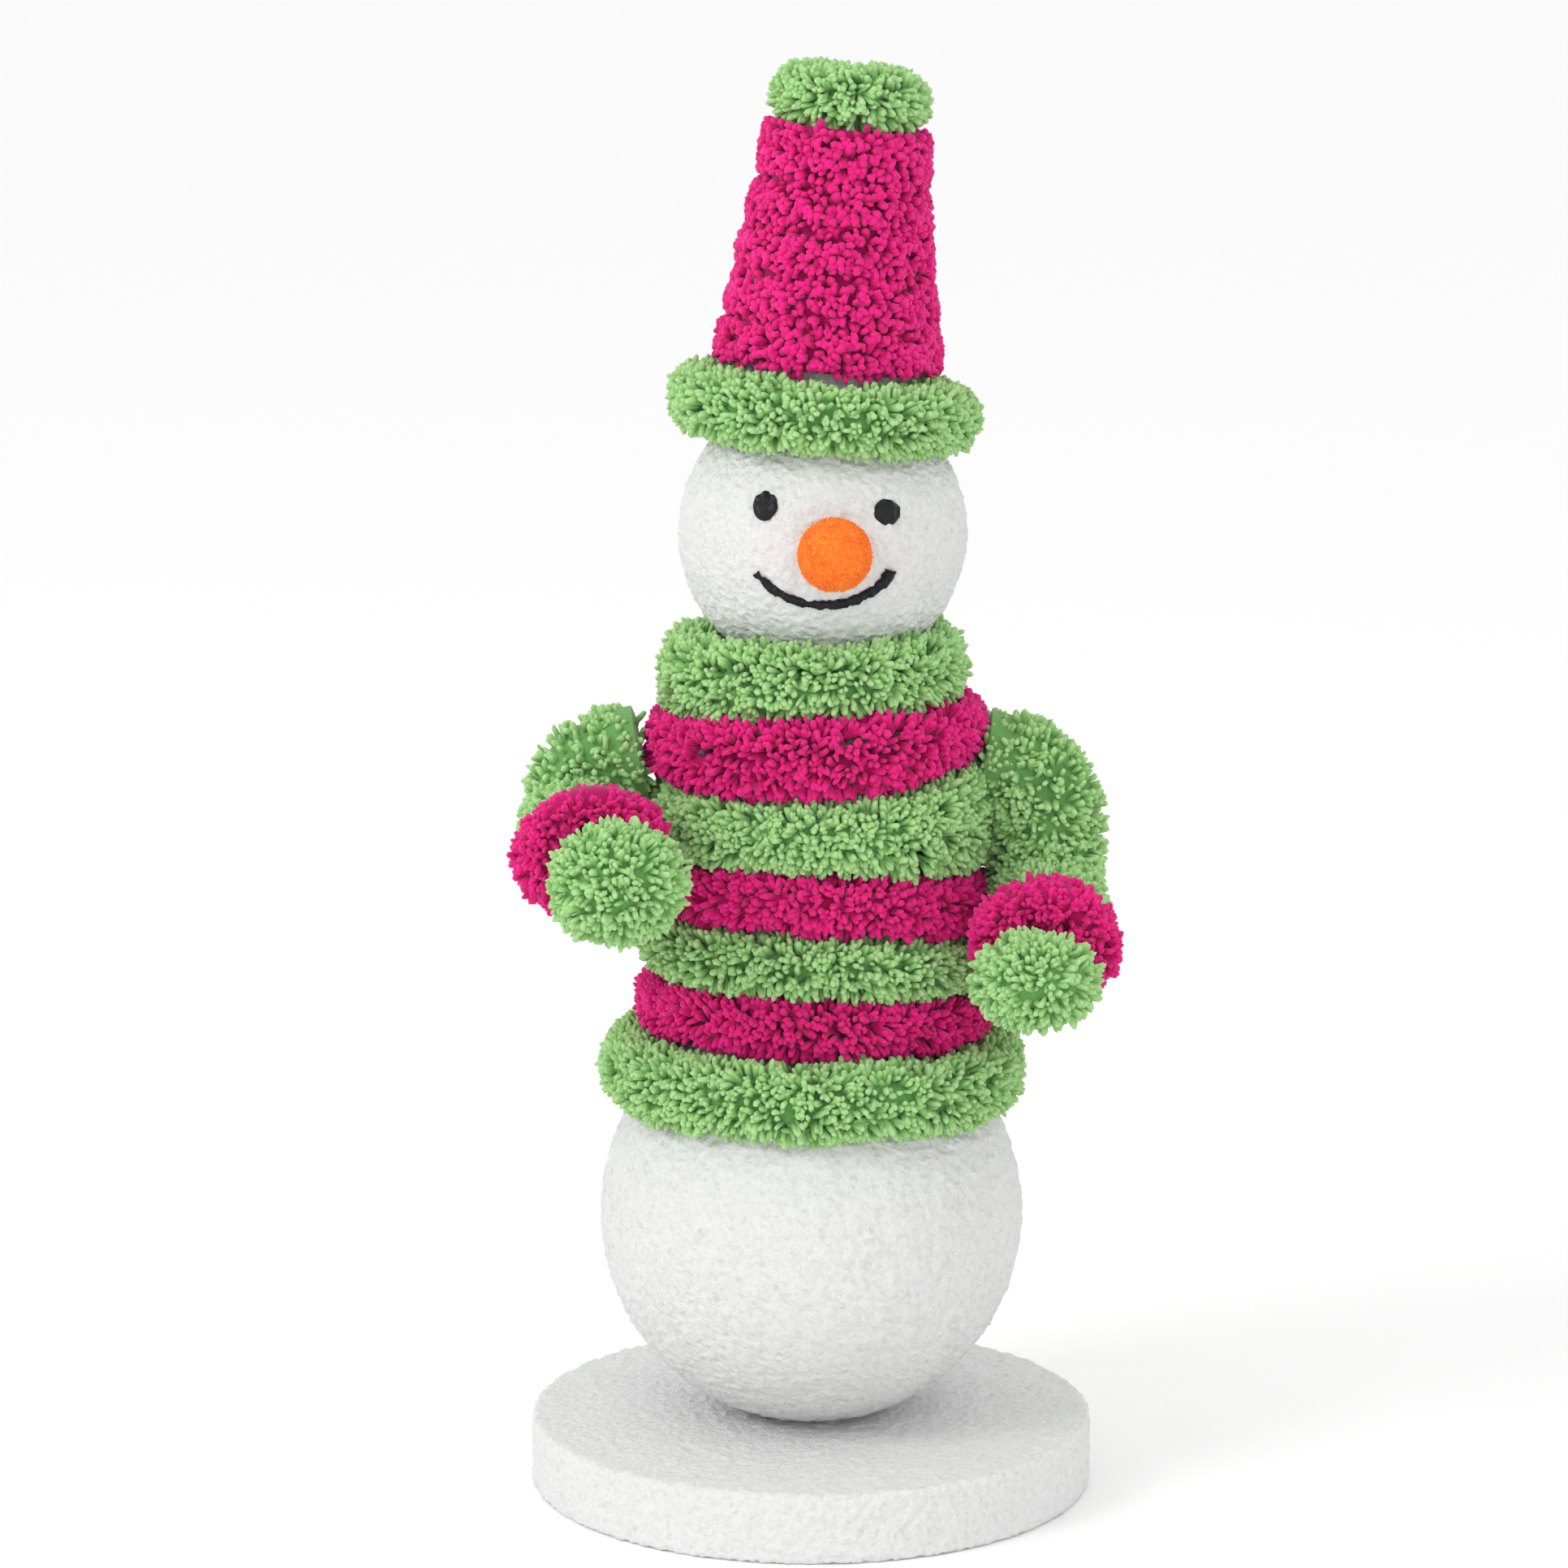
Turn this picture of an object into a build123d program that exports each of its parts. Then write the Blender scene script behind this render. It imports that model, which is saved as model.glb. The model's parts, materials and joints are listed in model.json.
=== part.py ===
from build123d import *
import math
import os

# A craft-foam snowman in a chenille jumper and hat.
# Millimetres, +Z up. The origin is the centre of the base disc's underside,
# and the figure faces -Y, so its own left hand is on the +X side.

os.makedirs("parts", exist_ok=True)

# ---- foam body ----
base_diameter = 203.2
base_height = 25.4
base_edge_round = 1.2
ball_diameter = 152.4
ball_seat_depth = 1.6          # how far the ball is pressed into the disc
core_diameter = 96.0
core_height = 144.0            # length of the core along the axis, before its ends are hollowed
core_sink = 16.0               # how far the core reaches down over the ball's crown
core_shoulder_height = 20.0
core_shoulder_width = 18.0
head_diameter = 101.6
head_offset = 3.8              # the head sits a little to the figure's left
head_sink = 7.0                # how far the head settles into the top of the core
glue_gap = 0.05                # clearance between foam faces that are glued together

# ---- pins that hold the stack ----
dowel_diameter = 6.35
dowel_start = 4.0              # the dowel stops short of the underside
dowel_into_head = 34.0
pick_diameter = 3.0
pick_in_head = 26.0
pick_in_former = 48.0
hole_clearance = 0.1           # all round a pin or wire in foam
pile_bore_clearance = 0.3      # all round a wire in its pile

# ---- chenille stem ----
wire_diameter = 2.0
wire_stand_off = 2.5           # wire centre to the foam it is wound on
ring_gap = 0.4                 # between one ring's pile and the next
ring_opening = 7.5             # width left open at the back of a ring, where the wire's ends turn in
wire_end_spacing = 3.0         # between the two ends of a ring's wire
wire_leg = 15.0                # length of a wire's end, from the ring into the foam
hem_wire_leg = 24.0
crown_wire_leg = 9.0

# ---- jumper rings, top to bottom: name, top, bottom, outer radius ----
jumper_rings = [
    ("stripe_1_pink", 287.5, 261.0, 62.6),
    ("stripe_2_green", 261.0, 234.5, 63.4),
    ("stripe_3_pink", 234.5, 213.0, 62.5),
    ("stripe_4_green", 213.0, 190.5, 65.0),
    ("stripe_5_pink", 190.5, 169.5, 65.4),
]
collar_height = 27.0
collar_wire_radius = 42.0
collar_outer_radius = 56.8
hem_height = 27.5
hem_wire_radius = 63.0
hem_outer_radius = 77.7

# ---- hat ----
hat_lean = 4.9                 # degrees towards the figure's left
hat_above_head_centre = 44.4   # brim's middle plane, up from the head's centre
former_bottom_radius = 33.5
former_top_radius = 18.0
former_below_brim = 8.0
former_above_brim = 94.8
brim_wire_radius = 41.0
brim_outer_radius = 56.0
brim_height = 30.0
crown_turns = 5
crown_pitch = 16.0
crown_first_turn = 23.0        # first turn's middle, up from the brim's
crown_pile = 10.8              # crown's outer surface to the former
top_ring_outer_radius = 29.0
top_ring_height = 27.0
top_ring_wire_radius = 14.6
top_ring_leg = 18.0

# ---- arms ----
sleeve_radius = 17.0
shoulder_reach = 68.0          # shoulder pivot, out from the figure's axis
elbow_reach = 90.0
arm_wire_diameter = 2.4
arm_root_start = 20.0          # how deep the arm's wire reaches into the core
pivot_gap = 0.4
elbow_gap = 1.5                # upper arm's wire to the elbow ball, so that the forearm can swing up
pile_gap = 0.4                 # sleeve to the jumper and to the other half of the elbow
left_shoulder_height = 266.0
left_elbow_height = 215.0
left_hand = (76.3, -82.0, 203.4)
left_mitten_size = (47.4, 37.0)
left_cuff_radius = 26.8
right_shoulder_height = 268.0
right_elbow_height = 242.0
right_hand = (66.6, -91.0, 239.5)
right_mitten_size = (50.6, 46.0)
right_cuff_radius = 28.4
mitten_rounding = 0.96         # rounding of a mitten's rim, as a share of half its height
cuff_share = 0.6               # cuff's place between elbow and hand
cuff_half_width = 12.4
neck_radius = 5.0              # squeezed pile inside the cuff
shoulder_raise = 35.0
shoulder_lower = 6.0
elbow_front_limit = 27.0       # degrees of pile kept on the inside of the elbow
elbow_back_limit = 115.0
elbow_pinch_radius = 4.2
slot_spare = 3.0               # degrees spare at each end of the root wire's slot

# ---- face ----
nose_diameter = 26.0
nose_sink = 3.4
eye_thickness = 1.1
smile_radius = 1.4
face_sink = 1.5                # how deep a face solid starts inside the head before it is trimmed

# ---- pin that holds the first stripe ----
pin_diameter = 0.8
pin_head_diameter = 2.8
pin_length = 26.0
pin_angle = -128.7             # degrees round the axis from +X
pin_height = 276.8

# ---- places worked out from the sizes above ----
ball_centre = base_height + ball_diameter / 2 - ball_seat_depth
core_bottom = ball_centre + ball_diameter / 2 - core_sink
core_top = core_bottom + core_height
head_centre = core_top - head_sink + head_diameter / 2
core_radius = core_diameter / 2
wire_radius = wire_diameter / 2
arm_wire_radius = arm_wire_diameter / 2
jumper_top = jumper_rings[0][1]
jumper_bottom = jumper_rings[-1][2]
collar_middle = jumper_top + collar_height / 2
hem_middle = jumper_bottom - hem_height / 2
lean = math.radians(hat_lean)
brim_origin = Vector(head_offset, 0, head_centre + hat_above_head_centre)
hat_frame = Plane(
    origin=brim_origin,
    x_dir=(math.cos(lean), 0, -math.sin(lean)),
    z_dir=(math.sin(lean), 0, math.cos(lean)),
)
body_frame = Plane.XY
head_point = Vector(head_offset, 0, head_centre)


def save(part, name):
    part.label = name
    export_step(part, f"parts/{name}.step")


def turned_frame(frame, turn):
    """The same frame, turned by some degrees about its own axis."""
    angle = math.radians(turn)
    return Plane(
        origin=frame.origin,
        x_dir=frame.x_dir * math.cos(angle) + frame.y_dir * math.sin(angle),
        z_dir=frame.z_dir,
    )


def profile_plane(frame, turn):
    """The plane that holds a ring's section, turned about the frame's axis."""
    turned = turned_frame(frame, turn)
    return Plane(origin=turned.origin, x_dir=turned.x_dir, z_dir=-turned.y_dir)


def half_angle(width, radius):
    """Degrees on either side of a ring's opening of the given width."""
    return math.degrees(math.asin(width / 2 / radius))


def pile_ring(frame, height, middle_radius, radial, half_height, inner_radius=0):
    """A ring of pile: an elliptical section pressed flat inside, bored for its wire, open at the back."""
    level = frame.offset(height)
    axis = Axis(level.origin, level.z_dir)
    opening = half_angle(ring_opening, middle_radius)
    section = profile_plane(level, 90 + opening)
    with BuildPart() as ring:
        with BuildSketch(section):
            with Locations((middle_radius, 0)):
                Ellipse(radial, half_height)
                Circle(wire_radius + pile_bore_clearance, mode=Mode.SUBTRACT)
            if inner_radius > middle_radius - radial:
                with Locations((inner_radius, 0)):
                    Rectangle(radial * 2, half_height * 3, align=(Align.MAX, Align.CENTER),
                              mode=Mode.SUBTRACT)
        revolve(axis=axis, revolution_arc=360 - 2 * opening)
    return ring.part


def wire_ends(frame, height, radius, leg, inward=True):
    """Where a ring wire's two ends start and stop: in towards the axis, or straight down."""
    level = frame.offset(height)
    ends = []
    for side in (90 + half_angle(wire_end_spacing, radius), 90 - half_angle(wire_end_spacing, radius)):
        corner = turned_frame(level, side).from_local_coords((radius, 0, 0))
        direction = turned_frame(level, side).x_dir if inward else level.z_dir
        ends.append((corner, corner - direction * leg))
    return ends


def ring_wire(frame, height, radius, leg, inward=True):
    """A ring of wire whose two ends turn into the foam."""
    level = frame.offset(height)
    opening = half_angle(wire_end_spacing, radius)
    with BuildPart() as wire:
        with BuildSketch(profile_plane(level, 90 + opening)):
            with Locations((radius, 0)):
                Circle(wire_radius)
        revolve(axis=Axis(level.origin, level.z_dir), revolution_arc=360 - 2 * opening)
        for corner, tip in wire_ends(frame, height, radius, leg, inward):
            add(rod(corner, tip, wire_radius))
            with Locations(corner):
                Sphere(wire_radius)
    return wire.part


def wire_holes(frame, height, radius, leg, inward=True):
    """The holes that a ring wire's two ends make in the foam."""
    return [
        rod(corner, tip, wire_radius + hole_clearance)
        for corner, tip in wire_ends(frame, height, radius, leg, inward)
    ]


def ball(centre, radius):
    with BuildPart() as solid:
        with Locations(centre):
            Sphere(radius)
    return solid.part


def rod(start, end, radius):
    """A straight round rod between two points."""
    direction = Vector(end) - Vector(start)
    with BuildPart() as solid:
        with BuildSketch(Plane(origin=start, z_dir=direction)):
            Circle(radius)
        extrude(amount=direction.length)
    return solid.part


# ---- cutting shapes that several pieces share ----
ball_cutter = ball((0, 0, ball_centre), ball_diameter / 2 + glue_gap)
head_cutter = ball(head_point, head_diameter / 2 + glue_gap)
dowel_end = head_centre - head_diameter / 2 + dowel_into_head
dowel_cutter = rod((0, 0, dowel_start), (0, 0, dowel_end), dowel_diameter / 2 + hole_clearance)
pick_start = hat_frame.from_local_coords((0, 0, -pick_in_head))
pick_end = hat_frame.from_local_coords((0, 0, pick_in_former))
pick_cutter = rod(pick_start, pick_end, pick_diameter / 2 + hole_clearance)

with BuildPart() as core_blank:
    with BuildSketch(Plane.XZ):
        with BuildLine():
            Polyline(
                (0, core_bottom),
                (core_radius, core_bottom),
                (core_radius, core_top - core_shoulder_height),
                (core_radius - core_shoulder_width, core_top),
                (0, core_top),
                close=True,
            )
        make_face()
    revolve(axis=Axis.Z)

with BuildPart() as former_blank:
    with BuildSketch(profile_plane(hat_frame, 0)):
        with BuildLine():
            Polyline(
                (0, -former_below_brim),
                (former_bottom_radius, -former_below_brim),
                (former_top_radius, former_above_brim),
                (0, former_above_brim),
                close=True,
            )
        make_face()
    revolve(axis=Axis(hat_frame.origin, hat_frame.z_dir))


def former_radius(height):
    """The former's radius at a height above the brim's middle."""
    share = (height + former_below_brim) / (former_above_brim + former_below_brim)
    return former_bottom_radius + share * (former_top_radius - former_bottom_radius)


# ---- ring wires: name, frame, height, radius, length of each end, and whether the ends turn inward ----
crown_heights = [crown_first_turn + crown_pitch * turn for turn in range(crown_turns)]
top_ring_middle = crown_heights[-1] + crown_pitch / 2 + top_ring_height / 2
stripe_wire_radius = core_radius + wire_stand_off
stripe_wires = {
    name + "_wire": (body_frame, (top + bottom) / 2, stripe_wire_radius, wire_leg)
    for name, top, bottom, outer in jumper_rings
}
collar_wires = {"collar_wire": (body_frame, collar_middle, collar_wire_radius, wire_leg)}
hem_wires = {"hem_wire": (body_frame, hem_middle, hem_wire_radius, hem_wire_leg)}
brim_wires = {"hat_brim_wire": (hat_frame, 0, brim_wire_radius, wire_leg)}
crown_wires = {
    f"crown_turn_{number}_wire": (hat_frame, height, former_radius(height) + wire_stand_off, crown_wire_leg)
    for number, height in enumerate(crown_heights, start=1)
}
top_wires = {"hat_top_wire": (hat_frame, top_ring_middle, top_ring_wire_radius, top_ring_leg, False)}
ring_wires = stripe_wires | collar_wires | hem_wires | brim_wires | crown_wires | top_wires
for wire_name, sizes in ring_wires.items():
    save(ring_wire(*sizes), wire_name)


def pierce(wires):
    """Cuts the wires' end holes out of the foam piece that is being made."""
    for sizes in wires.values():
        for hole in wire_holes(*sizes):
            add(hole, mode=Mode.SUBTRACT)


# ---- foam ----
with BuildPart() as base_disc:
    Cylinder(base_diameter / 2, base_height, align=(Align.CENTER, Align.CENTER, Align.MIN))
    fillet(base_disc.edges().filter_by(GeomType.CIRCLE), base_edge_round)
    add(ball_cutter, mode=Mode.SUBTRACT)
    add(dowel_cutter, mode=Mode.SUBTRACT)
save(base_disc.part, "base_disc")

with BuildPart() as bottom_ball:
    with Locations((0, 0, ball_centre)):
        Sphere(ball_diameter / 2)
    add(dowel_cutter, mode=Mode.SUBTRACT)
    pierce(hem_wires)
save(bottom_ball.part, "bottom_ball")

with BuildPart() as head_ball:
    add(ball(head_point, head_diameter / 2))
    add(dowel_cutter, mode=Mode.SUBTRACT)
    add(pick_cutter, mode=Mode.SUBTRACT)
    pierce(brim_wires)
save(head_ball.part, "head_ball")

with BuildPart() as hat_former:
    add(former_blank.part)
    add(head_cutter, mode=Mode.SUBTRACT)
    add(pick_cutter, mode=Mode.SUBTRACT)
    pierce(brim_wires | crown_wires | top_wires)
save(hat_former.part, "hat_former")

# ---- wooden pins ----
with BuildPart() as centre_dowel:
    with BuildSketch(Plane.XY.offset(dowel_start)):
        Circle(dowel_diameter / 2)
    extrude(amount=dowel_end - dowel_start)
    chamfer(centre_dowel.edges().filter_by(GeomType.CIRCLE), 0.8)
save(centre_dowel.part, "centre_dowel")

with BuildPart() as hat_pick:
    with BuildSketch(Plane(origin=pick_start, z_dir=hat_frame.z_dir)):
        Circle(pick_diameter / 2)
    extrude(amount=pick_in_head + pick_in_former)
    chamfer(hat_pick.edges().filter_by(GeomType.CIRCLE), 0.6)
save(hat_pick.part, "hat_pick")

# ---- pin in the first stripe ----
pin_frame = turned_frame(Plane.XY.offset(pin_height), pin_angle)
pin_head_reach = jumper_rings[0][3] - 1.4
pin_point = pin_frame.from_local_coords((pin_head_reach - pin_length, 0, 0))
pin_head_point = pin_frame.from_local_coords((pin_head_reach, 0, 0))
pin_hole = rod(pin_point, pin_head_point, pin_diameter / 2 + hole_clearance)
with BuildPart() as stripe_pin:
    add(rod(pin_point, pin_head_point, pin_diameter / 2))
    with Locations(pin_head_point):
        Sphere(pin_head_diameter / 2)
save(stripe_pin.part, "stripe_pin")


# ---- arms ----
def pie(apex_plane, radius, start_angle, end_angle, half_width):
    """A slice of a disc, used to cut a clear way for a part that swings."""
    steps = 6
    angles = [
        math.radians(start_angle + (end_angle - start_angle) * step / steps)
        for step in range(steps + 1)
    ]
    corners = [(radius * math.cos(angle), radius * math.sin(angle)) for angle in angles]
    with BuildPart() as slice_part:
        with BuildSketch(apex_plane):
            with BuildLine():
                Polyline((0, 0), *corners, close=True)
            make_face()
        extrude(amount=half_width, both=True)
    return slice_part.part


def arm_path_wire(side, shoulder, elbow, radius, start_gap):
    """A round rod along the upper arm: out from the shoulder, round the bend, down to the elbow."""
    bend = elbow_reach - shoulder_reach
    bend_end = (side * elbow_reach, 0, shoulder.Z - bend)
    middle = math.radians(45)
    bend_middle = (
        side * (shoulder_reach + bend * math.sin(middle)),
        0,
        shoulder.Z - bend + bend * math.cos(middle),
    )
    with BuildPart() as solid:
        with BuildLine():
            ThreePointArc(shoulder, bend_middle, bend_end)
            if shoulder.Z - bend - elbow.Z - start_gap > 0.5:
                Line(bend_end, elbow + Vector(0, 0, start_gap))
        with BuildSketch(Plane(origin=shoulder, z_dir=(side, 0, 0))):
            Circle(radius)
        sweep()
    return solid.part


def make_arm(prefix, side, shoulder_height, elbow_height, hand, mitten_size, cuff_radius):
    shoulder = Vector(side * shoulder_reach, 0, shoulder_height)
    elbow = Vector(side * elbow_reach, 0, elbow_height)
    hand_point = Vector(side * hand[0], hand[1], hand[2])
    forearm = hand_point - elbow
    reach = forearm.length
    forearm_frame = Plane(origin=elbow, x_dir=Vector(0, 0, 1).cross(forearm), z_dir=forearm)
    pitch = math.degrees(math.atan2(forearm.Z, -forearm.Y))
    swing_plane = Plane(origin=elbow, x_dir=(0, -1, 0), z_dir=(-1, 0, 0))
    # the slot's point lies beyond the pivot, so that its walls clear the root wire by the pivot gap
    slot_half_width = arm_wire_radius + pivot_gap
    half_swing = math.radians((shoulder_raise + shoulder_lower) / 2 + slot_spare)
    middle_swing = math.radians(180 - (shoulder_raise - shoulder_lower) / 2)
    slot_shift = slot_half_width / math.sin(half_swing)
    slot_point = shoulder - Vector(side * math.cos(middle_swing), 0, math.sin(middle_swing)) * slot_shift
    slot_plane = Plane(origin=slot_point, x_dir=(side, 0, 0), z_dir=(0, -side, 0))

    # the arm's root: wire pushed into the core, up to the shoulder pivot
    root_end = shoulder - Vector(side * (arm_wire_radius + pivot_gap), 0, 0)
    root_wire = rod((side * arm_root_start, 0, shoulder_height), root_end, arm_wire_radius)
    save(root_wire, prefix + "_arm_root_wire")

    # upper arm wire, with a round end on the shoulder pivot
    with BuildPart() as upper_wire:
        add(arm_path_wire(side, shoulder, elbow, arm_wire_radius, arm_wire_radius + elbow_gap))
        with Locations(shoulder):
            Sphere(arm_wire_radius)
    save(upper_wire.part, prefix + "_upper_arm_wire")

    # upper sleeve: a tube with a ball at the shoulder and a mitred ball at the elbow
    with BuildPart() as upper_sleeve:
        add(arm_path_wire(side, shoulder, elbow, sleeve_radius, 0))
        with Locations(shoulder, elbow):
            Sphere(sleeve_radius)
        cut_start = 90 - elbow_front_limit
        cut_end = -270 + elbow_back_limit
        add(pie(swing_plane, sleeve_radius * 6, cut_start, cut_end, sleeve_radius * 2), mode=Mode.SUBTRACT)
        add(pie(slot_plane, sleeve_radius * 2, 180 - shoulder_raise - slot_spare,
                180 + shoulder_lower + slot_spare, slot_half_width), mode=Mode.SUBTRACT)
        add(rod(elbow - Vector(50, 0, 0), elbow + Vector(50, 0, 0), elbow_pinch_radius), mode=Mode.SUBTRACT)
        add(arm_path_wire(side, shoulder, elbow, arm_wire_radius + hole_clearance, 0), mode=Mode.SUBTRACT)
        with Locations(shoulder):
            Sphere(arm_wire_radius + pivot_gap, mode=Mode.SUBTRACT)
    save(upper_sleeve.part, prefix + "_upper_sleeve")

    # forearm wire, with a round end on the elbow pivot
    wire_end = forearm_frame.from_local_coords((0, 0, reach + 6))
    with BuildPart() as forearm_wire:
        add(rod(elbow, wire_end, arm_wire_radius))
        with Locations(elbow):
            Sphere(arm_wire_radius)
    save(forearm_wire.part, prefix + "_forearm_wire")
    wire_bore = rod(elbow, wire_end, arm_wire_radius + hole_clearance)

    # forearm sleeve: full at the elbow, squeezed to a neck inside the cuff
    cuff_place = reach * cuff_share
    neck_start = cuff_place - cuff_half_width - ring_gap
    neck_end = reach - mitten_size[0] / 2 + 6
    with BuildPart() as forearm_sleeve:
        with BuildSketch(forearm_frame):
            Circle(sleeve_radius)
        extrude(amount=neck_start)
        with BuildSketch(forearm_frame.offset(neck_start)):
            Circle(neck_radius)
        extrude(amount=neck_end - neck_start)
        with Locations(elbow):
            Sphere(sleeve_radius)
        keep_back = pitch - elbow_back_limit
        add(pie(swing_plane, sleeve_radius * 6, pitch + elbow_front_limit, keep_back + 360,
                sleeve_radius * 2), mode=Mode.SUBTRACT)
        add(rod(elbow - Vector(50, 0, 0), elbow + Vector(50, 0, 0), elbow_pinch_radius), mode=Mode.SUBTRACT)
        add(wire_bore, mode=Mode.SUBTRACT)
    save(forearm_sleeve.part, prefix + "_forearm_sleeve")

    # cuff: one ring of pile round the wrist, with its wire
    cuff_middle_radius = cuff_radius - cuff_half_width
    cuff_wire = ring_wire(forearm_frame, cuff_place, cuff_middle_radius,
                          cuff_middle_radius - neck_radius - wire_radius)
    save(cuff_wire, prefix + "_cuff_wire")
    neck = rod(elbow, forearm_frame.from_local_coords((0, 0, neck_end)), neck_radius + hole_clearance)
    cuff = pile_ring(forearm_frame, cuff_place, cuff_middle_radius, cuff_half_width - 0.2,
                     cuff_half_width, neck_radius + hole_clearance)
    save(cuff, prefix + "_cuff")

    # mitten: a rolled ball of chenille, wider than it is high
    with BuildPart() as mitten:
        with Locations(hand_point):
            Cylinder(mitten_size[0] / 2, mitten_size[1])
        fillet(mitten.edges().filter_by(GeomType.CIRCLE), mitten_size[1] / 2 * mitten_rounding)
        add(neck, mode=Mode.SUBTRACT)
        add(wire_bore, mode=Mode.SUBTRACT)
    save(mitten.part, prefix + "_mitten")

    root_hole = rod((side * arm_root_start, 0, shoulder_height), root_end, arm_wire_radius + hole_clearance)
    notch = ball(shoulder, sleeve_radius + pile_gap)
    return root_hole, notch


left_root_hole, left_notch = make_arm(
    "left", 1, left_shoulder_height, left_elbow_height, left_hand, left_mitten_size, left_cuff_radius
)
right_root_hole, right_notch = make_arm(
    "right", -1, right_shoulder_height, right_elbow_height, right_hand, right_mitten_size, right_cuff_radius
)
arm_root_holes = [left_root_hole, right_root_hole]
arm_notches = [left_notch, right_notch]

# ---- torso core ----
with BuildPart() as torso_core:
    add(core_blank.part)
    add(ball_cutter, mode=Mode.SUBTRACT)
    add(head_cutter, mode=Mode.SUBTRACT)
    add(dowel_cutter, mode=Mode.SUBTRACT)
    add(pin_hole, mode=Mode.SUBTRACT)
    for hole in arm_root_holes:
        add(hole, mode=Mode.SUBTRACT)
    pierce(stripe_wires | collar_wires | hem_wires)
save(torso_core.part, "torso_core")

# ---- jumper pile ----
for ring_name, top, bottom, outer in jumper_rings:
    with BuildPart() as stripe:
        add(pile_ring(body_frame, (top + bottom) / 2, stripe_wire_radius, outer - stripe_wire_radius,
                      (top - bottom - ring_gap) / 2, core_radius + glue_gap))
        for cutter in arm_root_holes + arm_notches:
            add(cutter, mode=Mode.SUBTRACT)
        if ring_name == jumper_rings[0][0]:
            add(pin_hole, mode=Mode.SUBTRACT)
            add(ball(pin_head_point, pin_head_diameter / 2 + hole_clearance), mode=Mode.SUBTRACT)
    save(stripe.part, ring_name)

with BuildPart() as collar:
    add(pile_ring(body_frame, collar_middle, collar_wire_radius, collar_outer_radius - collar_wire_radius,
                  (collar_height - ring_gap) / 2))
    add(core_blank.part, mode=Mode.SUBTRACT)
    add(head_cutter, mode=Mode.SUBTRACT)
save(collar.part, "collar")

with BuildPart() as hem:
    add(pile_ring(body_frame, hem_middle, hem_wire_radius, hem_outer_radius - hem_wire_radius,
                  (hem_height - ring_gap) / 2, core_radius + glue_gap))
    add(ball_cutter, mode=Mode.SUBTRACT)
save(hem.part, "hem")

# ---- hat pile ----
with BuildPart() as hat_brim:
    add(pile_ring(hat_frame, 0, brim_wire_radius, brim_outer_radius - brim_wire_radius,
                  brim_height / 2))
    add(former_blank.part, mode=Mode.SUBTRACT)
    add(head_cutter, mode=Mode.SUBTRACT)
save(hat_brim.part, "hat_brim")

for number, height in enumerate(crown_heights, start=1):
    middle_radius = former_radius(height) + wire_stand_off
    with BuildPart() as crown_turn:
        add(pile_ring(hat_frame, height, middle_radius, crown_pile - wire_stand_off,
                      (crown_pitch - ring_gap) / 2))
        add(former_blank.part, mode=Mode.SUBTRACT)
    save(crown_turn.part, f"crown_turn_{number}")

with BuildPart() as hat_top:
    add(pile_ring(hat_frame, top_ring_middle, top_ring_wire_radius,
                  min(top_ring_wire_radius, top_ring_outer_radius - top_ring_wire_radius) - 0.1,
                  (top_ring_height - ring_gap) / 2))
save(hat_top.part, "hat_top")

# ---- face ----
nose_direction = Vector(3.7, -60.0, 0.0).normalized()
nose_centre = head_point + nose_direction * (head_diameter / 2 + nose_diameter / 2 - nose_sink)
with BuildPart() as nose:
    with Locations(nose_centre):
        Sphere(nose_diameter / 2)
    add(head_cutter, mode=Mode.SUBTRACT)
save(nose.part, "nose_pompom")


def make_eye(name, direction, half_width, half_height):
    """A thick drop of dimensional paint on the head's surface."""
    outward = Vector(direction).normalized()
    surface = head_point + outward * (head_diameter / 2 - face_sink)
    with BuildPart() as eye:
        with BuildSketch(Plane(origin=surface, x_dir=Vector(0, 0, 1).cross(outward), z_dir=outward)):
            Ellipse(half_width, half_height)
        extrude(amount=face_sink + eye_thickness)
        fillet(eye.faces().sort_by(Axis(surface, outward))[-1].edges(), eye_thickness * 0.7)
        add(head_cutter, mode=Mode.SUBTRACT)
    save(eye.part, name)


make_eye("right_eye", (-20.1, -44.2, 14.9), 4.4, 5.1)
make_eye("left_eye", (21.9, -44.0, 12.7), 4.9, 4.6)

smile_points = [
    head_point + Vector(direction).normalized() * (head_diameter / 2 + 0.3)
    for direction in ((-23.2, -44.4, -8.5), (-0.6, -46.9, -19.6), (22.5, -44.8, -8.0))
]
with BuildPart() as smile:
    with BuildLine() as smile_line:
        ThreePointArc(*smile_points)
    smile_start = smile_line.line @ 0
    with BuildSketch(Plane(origin=smile_start, z_dir=smile_line.line % 0)):
        Circle(smile_radius)
    sweep()
    for smile_end in (smile_line.line @ 0, smile_line.line @ 1):
        with Locations(smile_end):
            Sphere(smile_radius)
    add(head_cutter, mode=Mode.SUBTRACT)
save(smile.part, "smile")
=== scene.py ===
# %% [markdown]
# # A foam snowman in a chenille jumper
# The real object is a craft piece: a white foam disc, a large and a small foam ball, and jumbo
# chenille stem wound on as clothes. Chenille stem is a twisted wire with thousands of soft tufts
# caught in it. The CAD frame already holds every piece at its true place and size, so each step
# below dresses one of those pieces. The foam gets its crumbled skin, each chenille ring is grown
# tuft by tuft, and the face is built from thick glossy paint.

# %% Load the frame
import json
import math
import bpy
import numpy as np
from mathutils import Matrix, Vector, noise


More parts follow.
